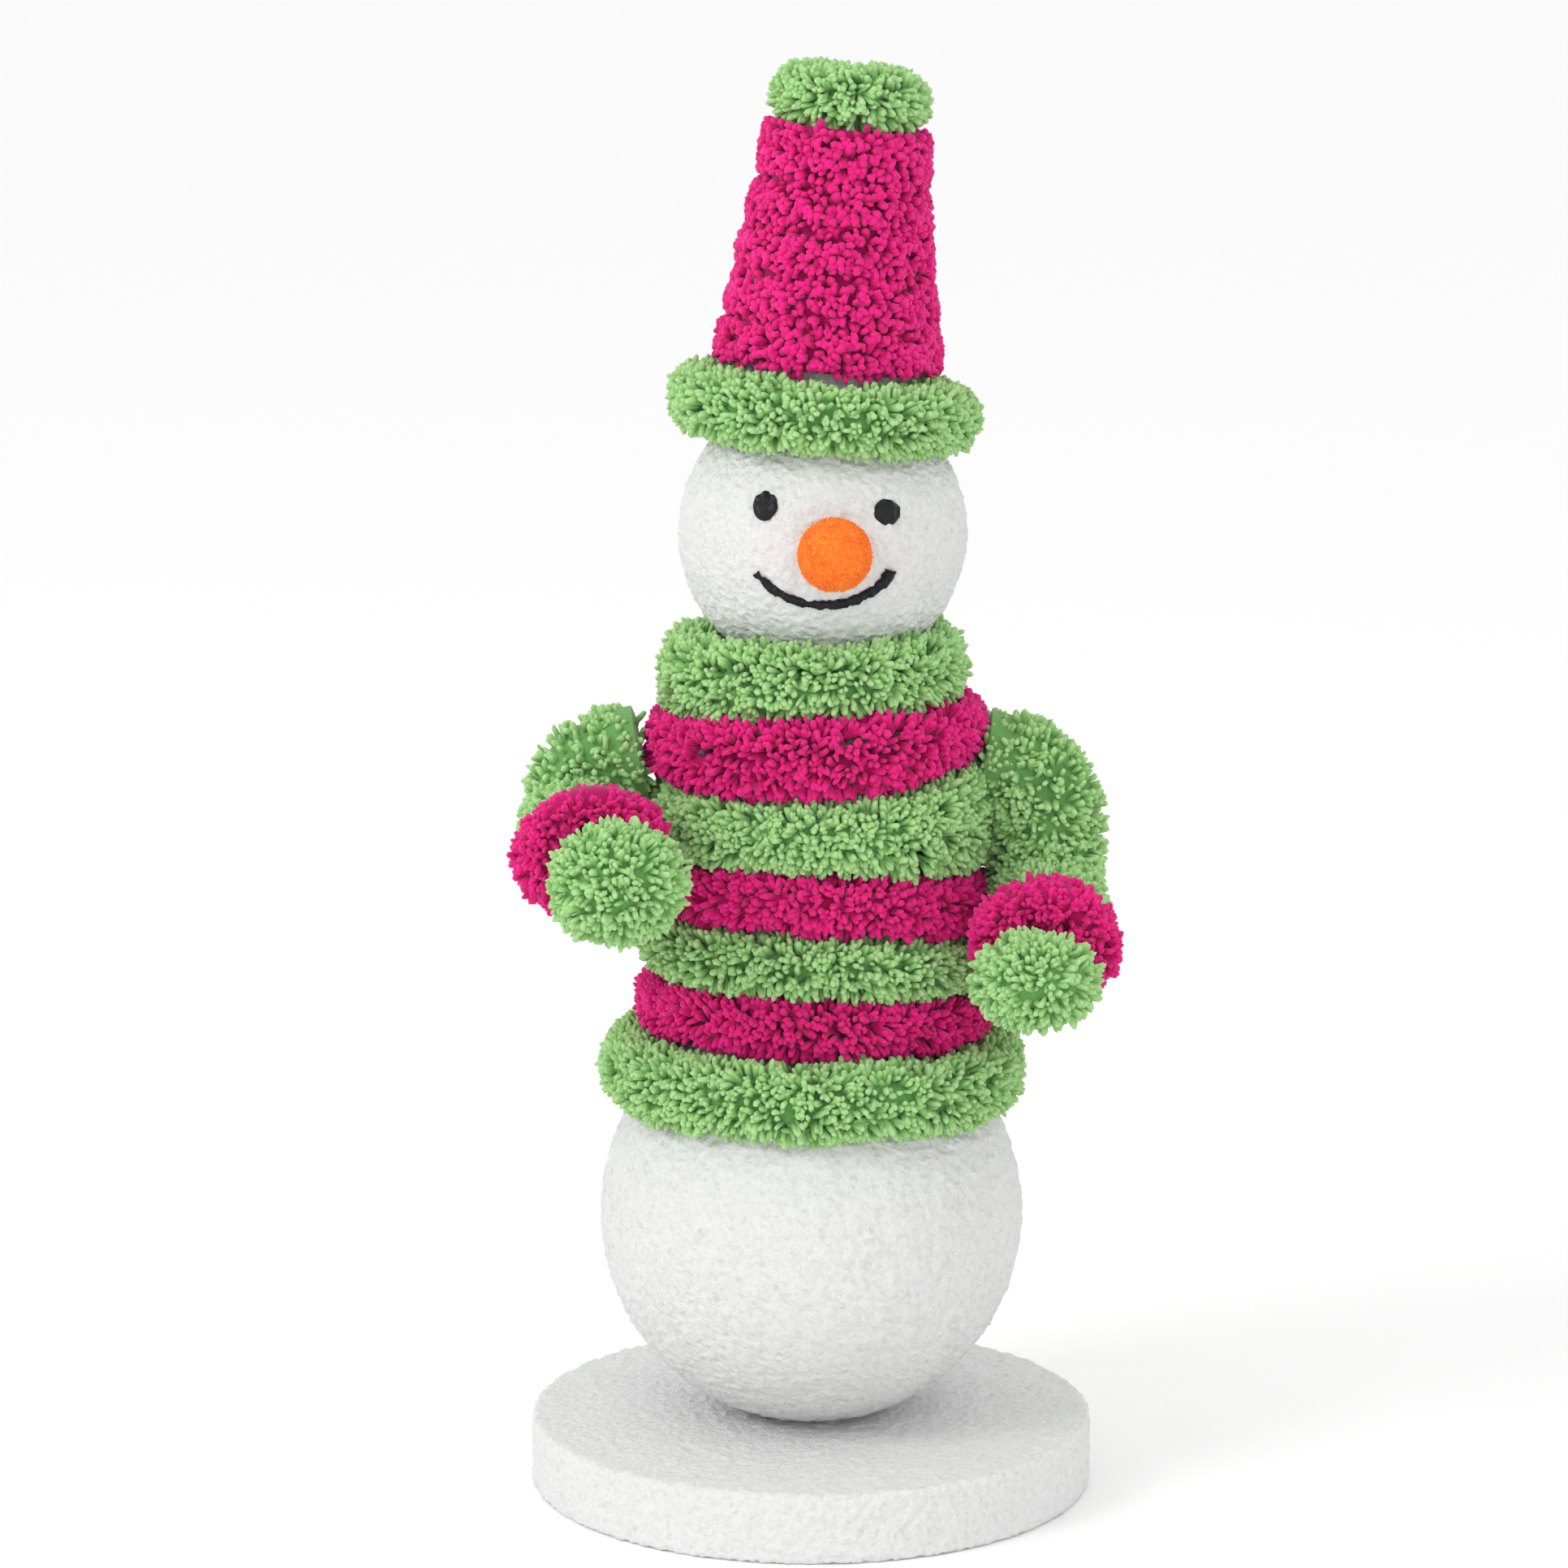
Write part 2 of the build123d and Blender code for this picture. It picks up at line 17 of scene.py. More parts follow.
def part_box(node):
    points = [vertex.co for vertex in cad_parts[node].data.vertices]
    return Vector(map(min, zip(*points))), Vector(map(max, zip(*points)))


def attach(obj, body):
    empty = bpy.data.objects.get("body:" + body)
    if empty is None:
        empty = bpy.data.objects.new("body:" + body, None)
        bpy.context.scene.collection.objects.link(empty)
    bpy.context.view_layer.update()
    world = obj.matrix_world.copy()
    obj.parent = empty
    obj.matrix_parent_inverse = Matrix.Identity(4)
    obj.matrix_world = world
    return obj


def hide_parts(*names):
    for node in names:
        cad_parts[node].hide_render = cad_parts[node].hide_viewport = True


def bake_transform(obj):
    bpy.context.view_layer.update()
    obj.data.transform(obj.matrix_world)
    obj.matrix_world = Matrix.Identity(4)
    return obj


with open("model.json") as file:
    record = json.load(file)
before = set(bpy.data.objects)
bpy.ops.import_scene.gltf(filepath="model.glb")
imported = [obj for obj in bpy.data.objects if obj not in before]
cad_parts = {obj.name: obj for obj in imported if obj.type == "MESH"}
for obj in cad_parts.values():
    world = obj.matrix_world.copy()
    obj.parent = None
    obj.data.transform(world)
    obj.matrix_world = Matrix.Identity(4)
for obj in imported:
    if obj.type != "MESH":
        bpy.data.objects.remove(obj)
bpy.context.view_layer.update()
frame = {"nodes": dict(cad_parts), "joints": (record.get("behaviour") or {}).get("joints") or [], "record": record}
MM = 0.001

# %% [markdown]
# ## A few helpers
# Blender's operators act on whatever is selected, so every step starts from an empty selection.
# `box_middle` and `box_size` turn a CAD node's corners into the two things that placing a piece needs.


# %% Helpers
def start_clean():
    bpy.ops.object.select_all(action="DESELECT")


def box_middle(node):
    low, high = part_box(node)
    return (low + high) / 2


def box_size(node):
    low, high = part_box(node)
    return high - low


def name_piece(piece, name):
    piece.name = name
    piece.data.name = name
    return piece


def settle(piece):
    """Puts the object's place into its mesh, so that the object itself sits at the origin."""
    start_clean()
    piece.select_set(True)
    bpy.context.view_layer.objects.active = piece
    bpy.ops.object.transform_apply(location=True, rotation=True, scale=True)
    return piece


def apply_modifier(piece, modifier):
    bpy.context.view_layer.objects.active = piece
    bpy.ops.object.modifier_apply(modifier=modifier.name)


def dress(piece, body, slot, material, *nodes):
    """One finished piece: its material, the body it rides on and the CAD nodes it stands for."""
    piece.data.materials.clear()
    piece.data.materials.append(material)
    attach(piece, body)
    if nodes:
        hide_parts(*nodes)
    print(piece.name, len(piece.data.polygons), "faces")
    return piece


# %% [markdown]
# ## Camera and studio
# The figure is seen from a little above its middle through a long lens, which keeps the two balls
# and the disc close to their true proportions. The studio is a wide white floor in white air, with
# one soft light high on the viewer's left and a weak one in front.

# %% Camera
CAMERA_PLACE = (-0.0099, -1.77, 0.582)
CAMERA_PITCH = 10.4
camera_data = bpy.data.cameras.new("camera")
camera_data.lens = 115.5
camera_data.sensor_width = 36
camera_data.clip_end = 100
camera = bpy.data.objects.new("camera", camera_data)
camera.location = CAMERA_PLACE
camera.rotation_euler = (math.radians(90 - CAMERA_PITCH), 0, 0)
bpy.context.collection.objects.link(camera)
bpy.context.scene.camera = camera
bpy.context.scene.view_settings.view_transform = "Standard"
print("camera at", CAMERA_PLACE, "lens", camera_data.lens)

# %% White floor
start_clean()
bpy.ops.mesh.primitive_plane_add(size=60, location=(0, 0, 0))
floor = name_piece(bpy.context.active_object, "white_floor")
floor_paper = bpy.data.materials.new("floor_paper")
floor_paper.use_nodes = True
floor_shader = floor_paper.node_tree.nodes["Principled BSDF"]
floor_shader.inputs["Base Color"].default_value = (0.96, 0.96, 0.96, 1)
floor_shader.inputs["Roughness"].default_value = 0.9
floor.data.materials.append(floor_paper)
print("floor", tuple(floor.dimensions))


# %% Lights
def soft_light(name, place, size, watts):
    data = bpy.data.lights.new(name, "AREA")
    data.shape = "DISK"
    data.size = size
    data.energy = watts
    light = bpy.data.objects.new(name, data)
    light.location = place
    light.rotation_euler = (Vector((0, 0, 0.25)) - Vector(place)).to_track_quat("-Z", "Y").to_euler()
    bpy.context.collection.objects.link(light)
    return light


soft_light("key_left", (-1.6, -1.2, 1.5), 0.9, 15)
soft_light("front_fill", (0.4, -2.2, 0.9), 1.4, 5)
world = bpy.data.worlds.new("studio_air")
world.use_nodes = True
world.node_tree.nodes["Background"].inputs["Color"].default_value = (1, 1, 1, 1)
world.node_tree.nodes["Background"].inputs["Strength"].default_value = 1.0
bpy.context.scene.world = world
print("lights", [item.name for item in bpy.data.lights])

# %% [markdown]
# ## Shared finishes
# Two effects turn up again and again, so each is a node group with named sockets. `crumb` is the
# crushed skin of foam: cells of about two millimetres broken up by finer noise. `fibre` is the
# tiny streaking of polyester pile. Both read Object coordinates, so they stay put on the piece.


# %% Node group helper
def make_group(name, inputs, outputs):
    group = bpy.data.node_groups.new(name, "ShaderNodeTree")
    for label, value in inputs.items():
        socket = group.interface.new_socket(name=label, in_out="INPUT", socket_type="NodeSocketFloat")
        socket.default_value = value
    for label in outputs:
        group.interface.new_socket(name=label, in_out="OUTPUT", socket_type="NodeSocketFloat")
    return group, group.nodes.new("NodeGroupInput"), group.nodes.new("NodeGroupOutput")


def math_node(tree, operation, first, second):
    node = tree.nodes.new("ShaderNodeMath")
    node.operation = operation
    for socket, value in zip(node.inputs, (first, second)):
        if isinstance(value, (int, float)):
            socket.default_value = value
        else:
            tree.links.new(value, socket)
    return node.outputs["Value"]


# %% The crumb group
crumb, crumb_in, crumb_out = make_group("crumb", {"Cells": 360.0, "Grain": 900.0}, ["Height", "PitShade"])
crumb_place = crumb.nodes.new("ShaderNodeTexCoord").outputs["Object"]
cells = crumb.nodes.new("ShaderNodeTexVoronoi")
cells.feature = "SMOOTH_F1"
grains = crumb.nodes.new("ShaderNodeTexNoise")
grains.inputs["Detail"].default_value = 6
grains.inputs["Roughness"].default_value = 0.65
crumb.links.new(crumb_place, cells.inputs["Vector"])
crumb.links.new(crumb_place, grains.inputs["Vector"])
crumb.links.new(crumb_in.outputs["Cells"], cells.inputs["Scale"])
crumb.links.new(crumb_in.outputs["Grain"], grains.inputs["Scale"])
cell_height = math_node(crumb, "MULTIPLY", cells.outputs["Distance"], -0.8)
crumb_height = math_node(crumb, "ADD", cell_height, grains.outputs["Fac"])
crumb.links.new(crumb_height, crumb_out.inputs["Height"])
# The pits are where the crumb is low. This mask paints shade into them as a greyer white.
pit_edge = crumb.nodes.new("ShaderNodeMapRange")
pit_edge.inputs["From Min"].default_value = 0.10
pit_edge.inputs["From Max"].default_value = -0.25
crumb.links.new(crumb_height, pit_edge.inputs["Value"])
crumb.links.new(pit_edge.outputs["Result"], crumb_out.inputs["PitShade"])
print("crumb group", len(crumb.nodes), "nodes")

# %% The fibre group
fibre, fibre_in, fibre_out = make_group("fibre", {"Scale": 1500.0}, ["Height", "Streak"])
fibre_place = fibre.nodes.new("ShaderNodeTexCoord").outputs["Object"]
strands = fibre.nodes.new("ShaderNodeTexNoise")
strands.inputs["Detail"].default_value = 4
strands.inputs["Distortion"].default_value = 1.5
fibre.links.new(fibre_place, strands.inputs["Vector"])
fibre.links.new(fibre_in.outputs["Scale"], strands.inputs["Scale"])
fibre.links.new(strands.outputs["Fac"], fibre_out.inputs["Height"])
streak = fibre.nodes.new("ShaderNodeMapRange")
streak.inputs["From Min"].default_value = 0.35
streak.inputs["From Max"].default_value = 0.65
fibre.links.new(strands.outputs["Fac"], streak.inputs["Value"])
fibre.links.new(streak.outputs["Result"], fibre_out.inputs["Streak"])
print("fibre group", len(fibre.nodes), "nodes")


# %% Material helpers
def blank_material(name):
    material = bpy.data.materials.new(name)
    material.use_nodes = True
    return material, material.node_tree, material.node_tree.nodes["Principled BSDF"]


def place_group(tree, group, **values):
    node = tree.nodes.new("ShaderNodeGroup")
    node.node_tree = group
    for label, value in values.items():
        node.inputs[label].default_value = value
    return node


def mix_colours(tree, share, first, second):
    mix = tree.nodes.new("ShaderNodeMix")
    mix.data_type = "RGBA"
    for socket, value in ((mix.inputs[0], share), (mix.inputs[6], first), (mix.inputs[7], second)):
        if isinstance(value, (tuple, float)):
            socket.default_value = value
        else:
            tree.links.new(value, socket)
    return mix.outputs[2]


def add_bump(tree, shader, height, distance, strength):
    bump = tree.nodes.new("ShaderNodeBump")
    bump.inputs["Distance"].default_value = distance
    bump.inputs["Strength"].default_value = strength
    tree.links.new(height, bump.inputs["Height"])
    tree.links.new(bump.outputs["Normal"], shader.inputs["Normal"])


# %% [markdown]
# ## Foam finish
# Craft foam of this kind is pressed until its beads crumble, so it looks like coarse snow. The
# broad lumps are real geometry. The material adds the fine grain, a slightly greyer white in the
# pits, which is painted shade, and a matte surface.


# %% Foam material
def foam_material(name, cells_per_metre, bump_strength):
    material, tree, shader = blank_material(name)
    skin = place_group(tree, crumb, Cells=cells_per_metre, Grain=cells_per_metre * 2.6)
    # The second, greyer white is painted shade in the pits.
    colour = mix_colours(tree, skin.outputs["PitShade"], (0.95, 0.955, 0.95, 1), (0.80, 0.80, 0.79, 1))
    tree.links.new(colour, shader.inputs["Base Color"])
    shader.inputs["Roughness"].default_value = 0.85
    shader.inputs["Specular IOR Level"].default_value = 0.25
    add_bump(tree, shader, skin.outputs["Height"], 0.0011, bump_strength)
    return material


ball_foam = foam_material("ball_foam", 560.0, 1.0)
disc_foam = foam_material("disc_foam", 640.0, 0.9)
print("foam materials ready")


# %% [markdown]
# ## Chenille finish
# Pile is darkest at its root, where light has to find its way down between the tufts, and palest
# at the tips. Every tuft carries two values as mesh attributes: `tip`, which runs from 0 at the
# root to 1 at the end, and `tone`, a number of its own that makes neighbours differ a little.


# %% Chenille material
def pile_material(name, root, middle, tip, sheen):
    material, tree, shader = blank_material(name)
    along = tree.nodes.new("ShaderNodeAttribute")
    along.attribute_name = "tip"
    tone = tree.nodes.new("ShaderNodeAttribute")
    tone.attribute_name = "tone"
    streaks = place_group(tree, fibre, Scale=1700.0)
    # The ramp paints shade into the colour: the root colour is painted shade deep between the tufts, and the tip
    # colour is the lit pile.
    ramp = tree.nodes.new("ShaderNodeValToRGB")
    ramp.color_ramp.elements[0].position = 0.10
    ramp.color_ramp.elements[0].color = root
    ramp.color_ramp.elements[1].position = 0.95
    ramp.color_ramp.elements[1].color = tip
    ramp.color_ramp.elements.new(0.55).color = middle
    tone_shift = math_node(tree, "MULTIPLY", math_node(tree, "SUBTRACT", tone.outputs["Fac"], 0.5), 0.5)
    tree.links.new(math_node(tree, "ADD", along.outputs["Fac"], tone_shift), ramp.inputs["Fac"])
    streak_share = math_node(tree, "MULTIPLY", streaks.outputs["Streak"], 0.25)
    colour = mix_colours(tree, streak_share, ramp.outputs["Color"], middle)
    tree.links.new(colour, shader.inputs["Base Color"])
    shader.inputs["Roughness"].default_value = 0.75
    shader.inputs["Specular IOR Level"].default_value = 0.25
    shader.inputs["Sheen Weight"].default_value = 0.7
    shader.inputs["Sheen Roughness"].default_value = 0.35
    shader.inputs["Sheen Tint"].default_value = sheen
    add_bump(tree, shader, streaks.outputs["Height"], 0.0004, 0.6)
    return material


# In each pile the first colour is painted shade at the roots and the last is the lit tips.
green_pile = pile_material(
    "green_pile", (0.13, 0.33, 0.09, 1), (0.25, 0.52, 0.15, 1), (0.43, 0.70, 0.29, 1), (0.8, 1, 0.7, 1)
)
pink_pile = pile_material(
    "pink_pile", (0.40, 0.001, 0.10, 1), (0.62, 0.003, 0.15, 1), (0.84, 0.012, 0.24, 1), (1, 0.4, 0.65, 1)
)
print("pile materials ready")

# %% [markdown]
# ## The foam body
# A ball made from a cube has even faces all over, which suits a skin of even lumps better than a
# globe whose faces crowd at the poles. The cube is subdivided in edit mode and rounded with a Cast
# modifier. Two Displace modifiers then push the surface in and out, by two millimetres at most.


# %% Foam skin
def crumble(piece, lump_size, lump_height, grain_size, grain_height):
    """Displaces a foam piece by broad lumps and then by fine grain."""
    for label, size, height in (("lumps", lump_size, lump_height), ("grain", grain_size, grain_height)):
        texture = bpy.data.textures.new(piece.name + "_" + label, "CLOUDS")
        texture.noise_scale = size
        texture.noise_depth = 2
        texture.noise_basis = "VORONOI_F1" if label == "grain" else "ORIGINAL_PERLIN"
        displace = piece.modifiers.new(label, "DISPLACE")
        displace.texture = texture
        displace.texture_coords = "LOCAL"
        displace.strength = height
        displace.mid_level = 0.5
        apply_modifier(piece, displace)
    for face in piece.data.polygons:
        face.use_smooth = True
    piece.data.update()


def foam_ball(name, middle, radius, cuts):
    start_clean()
    bpy.ops.mesh.primitive_cube_add(size=2 * radius / math.sqrt(3), location=(0, 0, 0))
    piece = name_piece(bpy.context.active_object, name)
    bpy.ops.object.mode_set(mode="EDIT")
    bpy.ops.mesh.select_all(action="SELECT")
    bpy.ops.mesh.subdivide(number_cuts=cuts)
    bpy.ops.object.mode_set(mode="OBJECT")
    round_off = piece.modifiers.new("round_off", "CAST")
    round_off.factor = 1.0
    apply_modifier(piece, round_off)
    rounded = max(vertex.co.length for vertex in piece.data.vertices)
    piece.scale = (radius / rounded,) * 3
    settle(piece)
    crumble(piece, 0.007, 0.0014, 0.0028, 0.0026)
    piece.location = middle
    return settle(piece)


# %% The two balls
low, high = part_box("head_ball")
head_radius = (high.x - low.x) / 2
head_middle = Vector(((low.x + high.x) / 2, 0, high.z - head_radius))
low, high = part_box("bottom_ball")
ball_radius = (high.x - low.x) / 2
ball_middle = Vector((0, 0, high.z - ball_radius))
head = foam_ball("head", head_middle, head_radius, 95)
ball = foam_ball("ball", ball_middle, ball_radius, 120)
dress(head, "torso", "white_foam", ball_foam, "head_ball")
dress(ball, "torso", "white_foam", ball_foam, "bottom_ball")

# %% [markdown]
# ## The base disc
# The disc is cut from a sheet of the same foam. A cylinder with a small bevel is remeshed into
# even faces, so the crumbled skin is as fine on the rim as on the top. The underside is pressed
# flat again afterwards, because the disc stands on it.

# %% Base disc
DISC_ROUNDING = 1.6 * MM
DISC_VOXEL = 1.05 * MM
disc_size = box_size("base_disc")
start_clean()
bpy.ops.mesh.primitive_cylinder_add(
    vertices=160, radius=disc_size.x / 2, depth=disc_size.z, location=(0, 0, disc_size.z / 2)
)
disc = settle(name_piece(bpy.context.active_object, "disc"))
rim = disc.modifiers.new("rim", "BEVEL")
rim.width = DISC_ROUNDING
rim.segments = 3
rim.limit_method = "ANGLE"
rim.angle_limit = math.radians(60)
apply_modifier(disc, rim)
even = disc.modifiers.new("even", "REMESH")
even.mode = "VOXEL"
even.voxel_size = DISC_VOXEL
apply_modifier(disc, even)
crumble(disc, 0.009, 0.0010, 0.0028, 0.0022)
for vertex in disc.data.vertices:
    if vertex.co.z < DISC_ROUNDING:
        vertex.co.z = max(vertex.co.z, 0.0)
disc.data.update()
dress(disc, "torso", "white_foam", disc_foam, "base_disc")

# %% [markdown]
# ## One tuft
# A tuft is a little blunt lobe, narrow where the wire grips it and round at its end. It is a
# small sphere with only five sides, reshaped in edit mode row by row. It is modelled once,
# from z = 0 at its root to z = 1 at its tip, and then copied many thousand times.

# %% Model the tuft
start_clean()
bpy.ops.mesh.primitive_uv_sphere_add(segments=5, ring_count=4, radius=0.5, location=(0, 0, 0))
tuft = name_piece(bpy.context.active_object, "tuft")
bpy.ops.object.mode_set(mode="EDIT")
bpy.ops.mesh.select_mode(type="VERT")
bpy.ops.mesh.select_all(action="DESELECT")
bpy.ops.object.mode_set(mode="OBJECT")
for vertex in tuft.data.vertices:
    vertex.select = vertex.co.z < -0.45
bpy.ops.object.mode_set(mode="EDIT")
bpy.ops.mesh.delete(type="VERT")
bpy.ops.object.mode_set(mode="OBJECT")
TUFT_ROWS = ((-0.4, -0.3, 0.9, -0.1), (-0.1, 0.1, 0.95, 0.05), (0.3, 0.4, 1.25, 0.05))
for low_edge, high_edge, widen, lift in TUFT_ROWS:
    for vertex in tuft.data.vertices:
        vertex.select = low_edge < vertex.co.z < high_edge
    bpy.ops.object.mode_set(mode="EDIT")
    bpy.ops.transform.resize(value=(widen, widen * 0.8, 1))
    bpy.ops.transform.translate(value=(0, 0, lift))
    bpy.ops.object.mode_set(mode="OBJECT")
tuft_points = np.array([vertex.co for vertex in tuft.data.vertices]) + (0, 0, 0.5)
tuft_faces = [list(face.vertices) for face in tuft.data.polygons]
bpy.data.objects.remove(tuft)
tuft_around = (np.arctan2(tuft_points[:, 1], tuft_points[:, 0]) / math.tau) % 1.0
print("one tuft:", len(tuft_points), "vertices,", len(tuft_faces), "faces")


# %% [markdown]
# ## Growing the pile
# `grow_pile` takes the place of every tip, the way each tuft points, its length and its width, and
# lays a copy of the tuft there. Numpy does this for all tufts at once. Each tuft gets its own cell
# of the piece's UV map, so a baked texture has room for its shading from root to tip.
# `ruffle` gives neighbours a common lean, because real pile parts and clumps, and adds some chaos.


# %% Grow and ruffle
def unit(vectors):
    return vectors / np.maximum(np.linalg.norm(vectors, axis=-1, keepdims=True), 1e-9)


def clump_lean(places, clump_size, seed):
    """A smooth field of directions: tufts that are close together lean the same way.

    Blender sets the start of this noise by the clock, so the leans differ a little from run to run.
    """
    shift = Vector((seed * 3.1, seed * 1.7, seed * 2.3))
    return np.array([noise.noise_vector(Vector(place) / clump_size + shift) for place in places])


def ruffle(places, outward, seed, clump=0.95, chaos=0.45, clump_size=0.007):
    random = np.random.default_rng(seed)
    lean = clump_lean(places, clump_size, seed) * clump
    return unit(outward + lean + random.normal(0, chaos, outward.shape))


def grow_pile(name, places, outward, directions, lengths, widths, seed, core=None):
    """One mesh of tufts that would end at the given places if they stood straight outward."""
    random = np.random.default_rng(seed + 1000)
    count = len(places)
    side = unit(np.cross(directions, random.normal(0, 1, directions.shape)))
    across = np.cross(directions, side)
    bend = random.normal(0, 0.16, (count, 1)) * lengths[:, None]
    roots = places - outward * lengths[:, None]
    x, y, z = tuft_points.T
    points = (
        roots[:, None, :]
        + directions[:, None, :] * (lengths[:, None] * z)[..., None]
        + side[:, None, :] * (widths[:, None] * x + bend * z * z)[..., None]
        + across[:, None, :] * (widths[:, None] * y)[..., None]
    ).reshape(-1, 3)
    size = len(tuft_points)
    faces = [[index + size * copy for index in face] for copy in range(count) for face in tuft_faces]
    mesh = bpy.data.meshes.new(name)
    mesh.from_pydata(points.tolist(), [], faces)
    tip_values = np.tile(z, count)
    tone_values = np.repeat(random.random(count), size)
    fill_attributes(mesh, tip_values, tone_values)
    cell_uv(mesh, count)
    piece = bpy.data.objects.new(name, mesh)
    bpy.context.collection.objects.link(piece)
    if core is not None:
        piece = join_core(piece, core, name)
    for face in piece.data.polygons:
        face.use_smooth = True
    return piece


def fill_attributes(mesh, tip_values, tone_values):
    for label, values in (("tip", tip_values), ("tone", tone_values)):
        attribute = mesh.attributes.new(label, "FLOAT", "POINT")
        attribute.data.foreach_set("value", np.asarray(values, np.float32))


CORE_STRIP = 0.12
CELL_MARGIN = 0.1


def cell_uv(mesh, count):
    """Gives each tuft a square cell of the map, above a strip that is kept for the core."""
    layer = mesh.uv_layers.new(name="OFBake")
    columns = math.ceil(math.sqrt(count / (1 - CORE_STRIP)))
    cell = 1 / columns
    loops = np.empty(len(mesh.loops), np.int32)
    mesh.loops.foreach_get("vertex_index", loops)
    size = len(tuft_points)
    copy, corner = loops // size, loops % size
    used = 1 - 2 * CELL_MARGIN
    u = (copy % columns + CELL_MARGIN + used * tuft_around[corner]) * cell
    v = CORE_STRIP + (copy // columns + CELL_MARGIN + used * tuft_points[corner, 2]) * cell
    layer.data.foreach_set("uv", np.stack([u, v], 1).astype(np.float32).ravel())


def join_core(piece, core, name):
    """Joins the core, dark with painted shade, to its pile, with its map squeezed into the strip."""
    # tip 0.1 and tone 0.3 put the core at the root colour of the ramp: painted shade between the tufts.
    fill_attributes(core.data, np.full(len(core.data.vertices), 0.1), np.full(len(core.data.vertices), 0.3))
    layer = core.data.uv_layers.active
    layer.name = "OFBake"
    uv = np.empty(len(core.data.loops) * 2, np.float32)
    layer.data.foreach_get("uv", uv)
    uv = uv.reshape(-1, 2) * (0.98, CORE_STRIP * 0.9) + (0.01, 0.002)
    layer.data.foreach_set("uv", uv.astype(np.float32).ravel())
    start_clean()
    core.select_set(True)
    piece.select_set(True)
    bpy.context.view_layer.objects.active = piece
    bpy.ops.object.join()
    return name_piece(piece, name)


# %% [markdown]
# ## A ring of chenille
# Every ring of the jumper is one stem laid round the body. `ring_pile` walks round the ring and
# over its section, row by row, and puts a tip on the outside of the pile. The upper and lower
# edges of a ring are functions of the angle, because the wound stems wander. Two neighbours share
# one edge, and each reaches a little past it.


# %% Ring builder
def rounded_square(wave, boxiness):
    """A sine or cosine made fuller: 1 leaves a round section and smaller numbers square it."""
    return np.sign(wave) * np.abs(wave) ** boxiness


def ring_pile(name, frame_axes, top_edge, bottom_edge, wire_radius, outer_radius, seed,
              spacing=2.35 * MM, length=9 * MM, width=2.45 * MM, boxiness=0.75, sweep_angle=118.0,
              roughness=1.3 * MM, chaos=0.45, keep_clear=None):
    """A pile ring round the axis of frame_axes, an (origin, x, y, z) set of vectors."""
    origin, x_axis, y_axis, z_axis = (np.array(vector) for vector in frame_axes)
    random = np.random.default_rng(seed)
    half_height = abs(top_edge(0.0) - bottom_edge(0.0)) / 2
    radial = outer_radius - wire_radius
    fine = np.radians(np.linspace(-sweep_angle, sweep_angle, 721))
    outline = np.stack([
        radial * rounded_square(np.cos(fine), boxiness),
        half_height * rounded_square(np.sin(fine), boxiness),
    ])
    along = np.concatenate([[0], np.cumsum(np.linalg.norm(np.diff(outline, axis=1), axis=0))])
    rows = max(4, round(along[-1] / spacing))
    tips, outward = [], []
    for row in range(rows):
        station = along[-1] * (row + 0.5) / rows
        radius = wire_radius + np.interp(station, along, outline[0])
        around = max(8, round(math.tau * radius / spacing))
        angles = (np.arange(around) + 0.5 * (row % 2) + random.normal(0, 0.22, around)) * math.tau / around
        phis = np.interp(station + random.normal(0, 0.22, around) * spacing, along, fine)
        cosine, sine = np.cos(phis), np.sin(phis)
        out_share, up_share = rounded_square(cosine, boxiness), rounded_square(sine, boxiness)
        tops = np.array([top_edge(angle) for angle in angles])
        bottoms = np.array([bottom_edge(angle) for angle in angles])
        middle, half = (tops + bottoms) / 2, (tops - bottoms) / 2
        ring_direction = np.cos(angles)[:, None] * x_axis + np.sin(angles)[:, None] * y_axis
        tips.append(
            origin
            + ring_direction * (wire_radius + radial * out_share)[:, None]
            + z_axis * (middle + half * up_share)[:, None]
        )
        outward.append(unit(ring_direction * cosine[:, None] + z_axis * sine[:, None]))
    tips, outward = np.concatenate(tips), np.concatenate(outward)
    if keep_clear is not None:
        open_here = np.linalg.norm(tips - np.array(keep_clear), axis=1) > 3.4 * MM
        tips, outward = tips[open_here], outward[open_here]
    tips = tips + outward * (random.normal(0, 0.35, len(tips)) * roughness)[:, None]
    tips = tips + clump_lean(tips, 0.011, seed + 7) * roughness
    tips = tips + clump_lean(tips, 0.022, seed + 9) * roughness * 1.3
    directions = ruffle(tips, outward, seed, chaos=chaos)
    lengths = length * random.uniform(0.8, 1.15, len(tips))
    widths = width * random.uniform(0.75, 1.25, len(tips))
    core = ring_core(name, frame_axes, (top_edge(math.pi) + bottom_edge(math.pi)) / 2,
                     wire_radius, min(radial, half_height) - 5.0 * MM)
    return grow_pile(name, tips, outward, directions, lengths, widths, seed, core)


def ring_core(name, frame_axes, height, radius, thickness):
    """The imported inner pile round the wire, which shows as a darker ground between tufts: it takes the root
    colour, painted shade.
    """
    origin, x_axis, y_axis, z_axis = frame_axes
    start_clean()
    bpy.ops.mesh.primitive_torus_add(
        major_segments=64, minor_segments=10, major_radius=radius, minor_radius=max(thickness, 2 * MM),
        location=Vector(origin) + Vector(z_axis) * height,
        rotation=Vector(z_axis).to_track_quat("Z", "Y").to_euler(),
    )
    return settle(name_piece(bpy.context.active_object, name + "_core"))


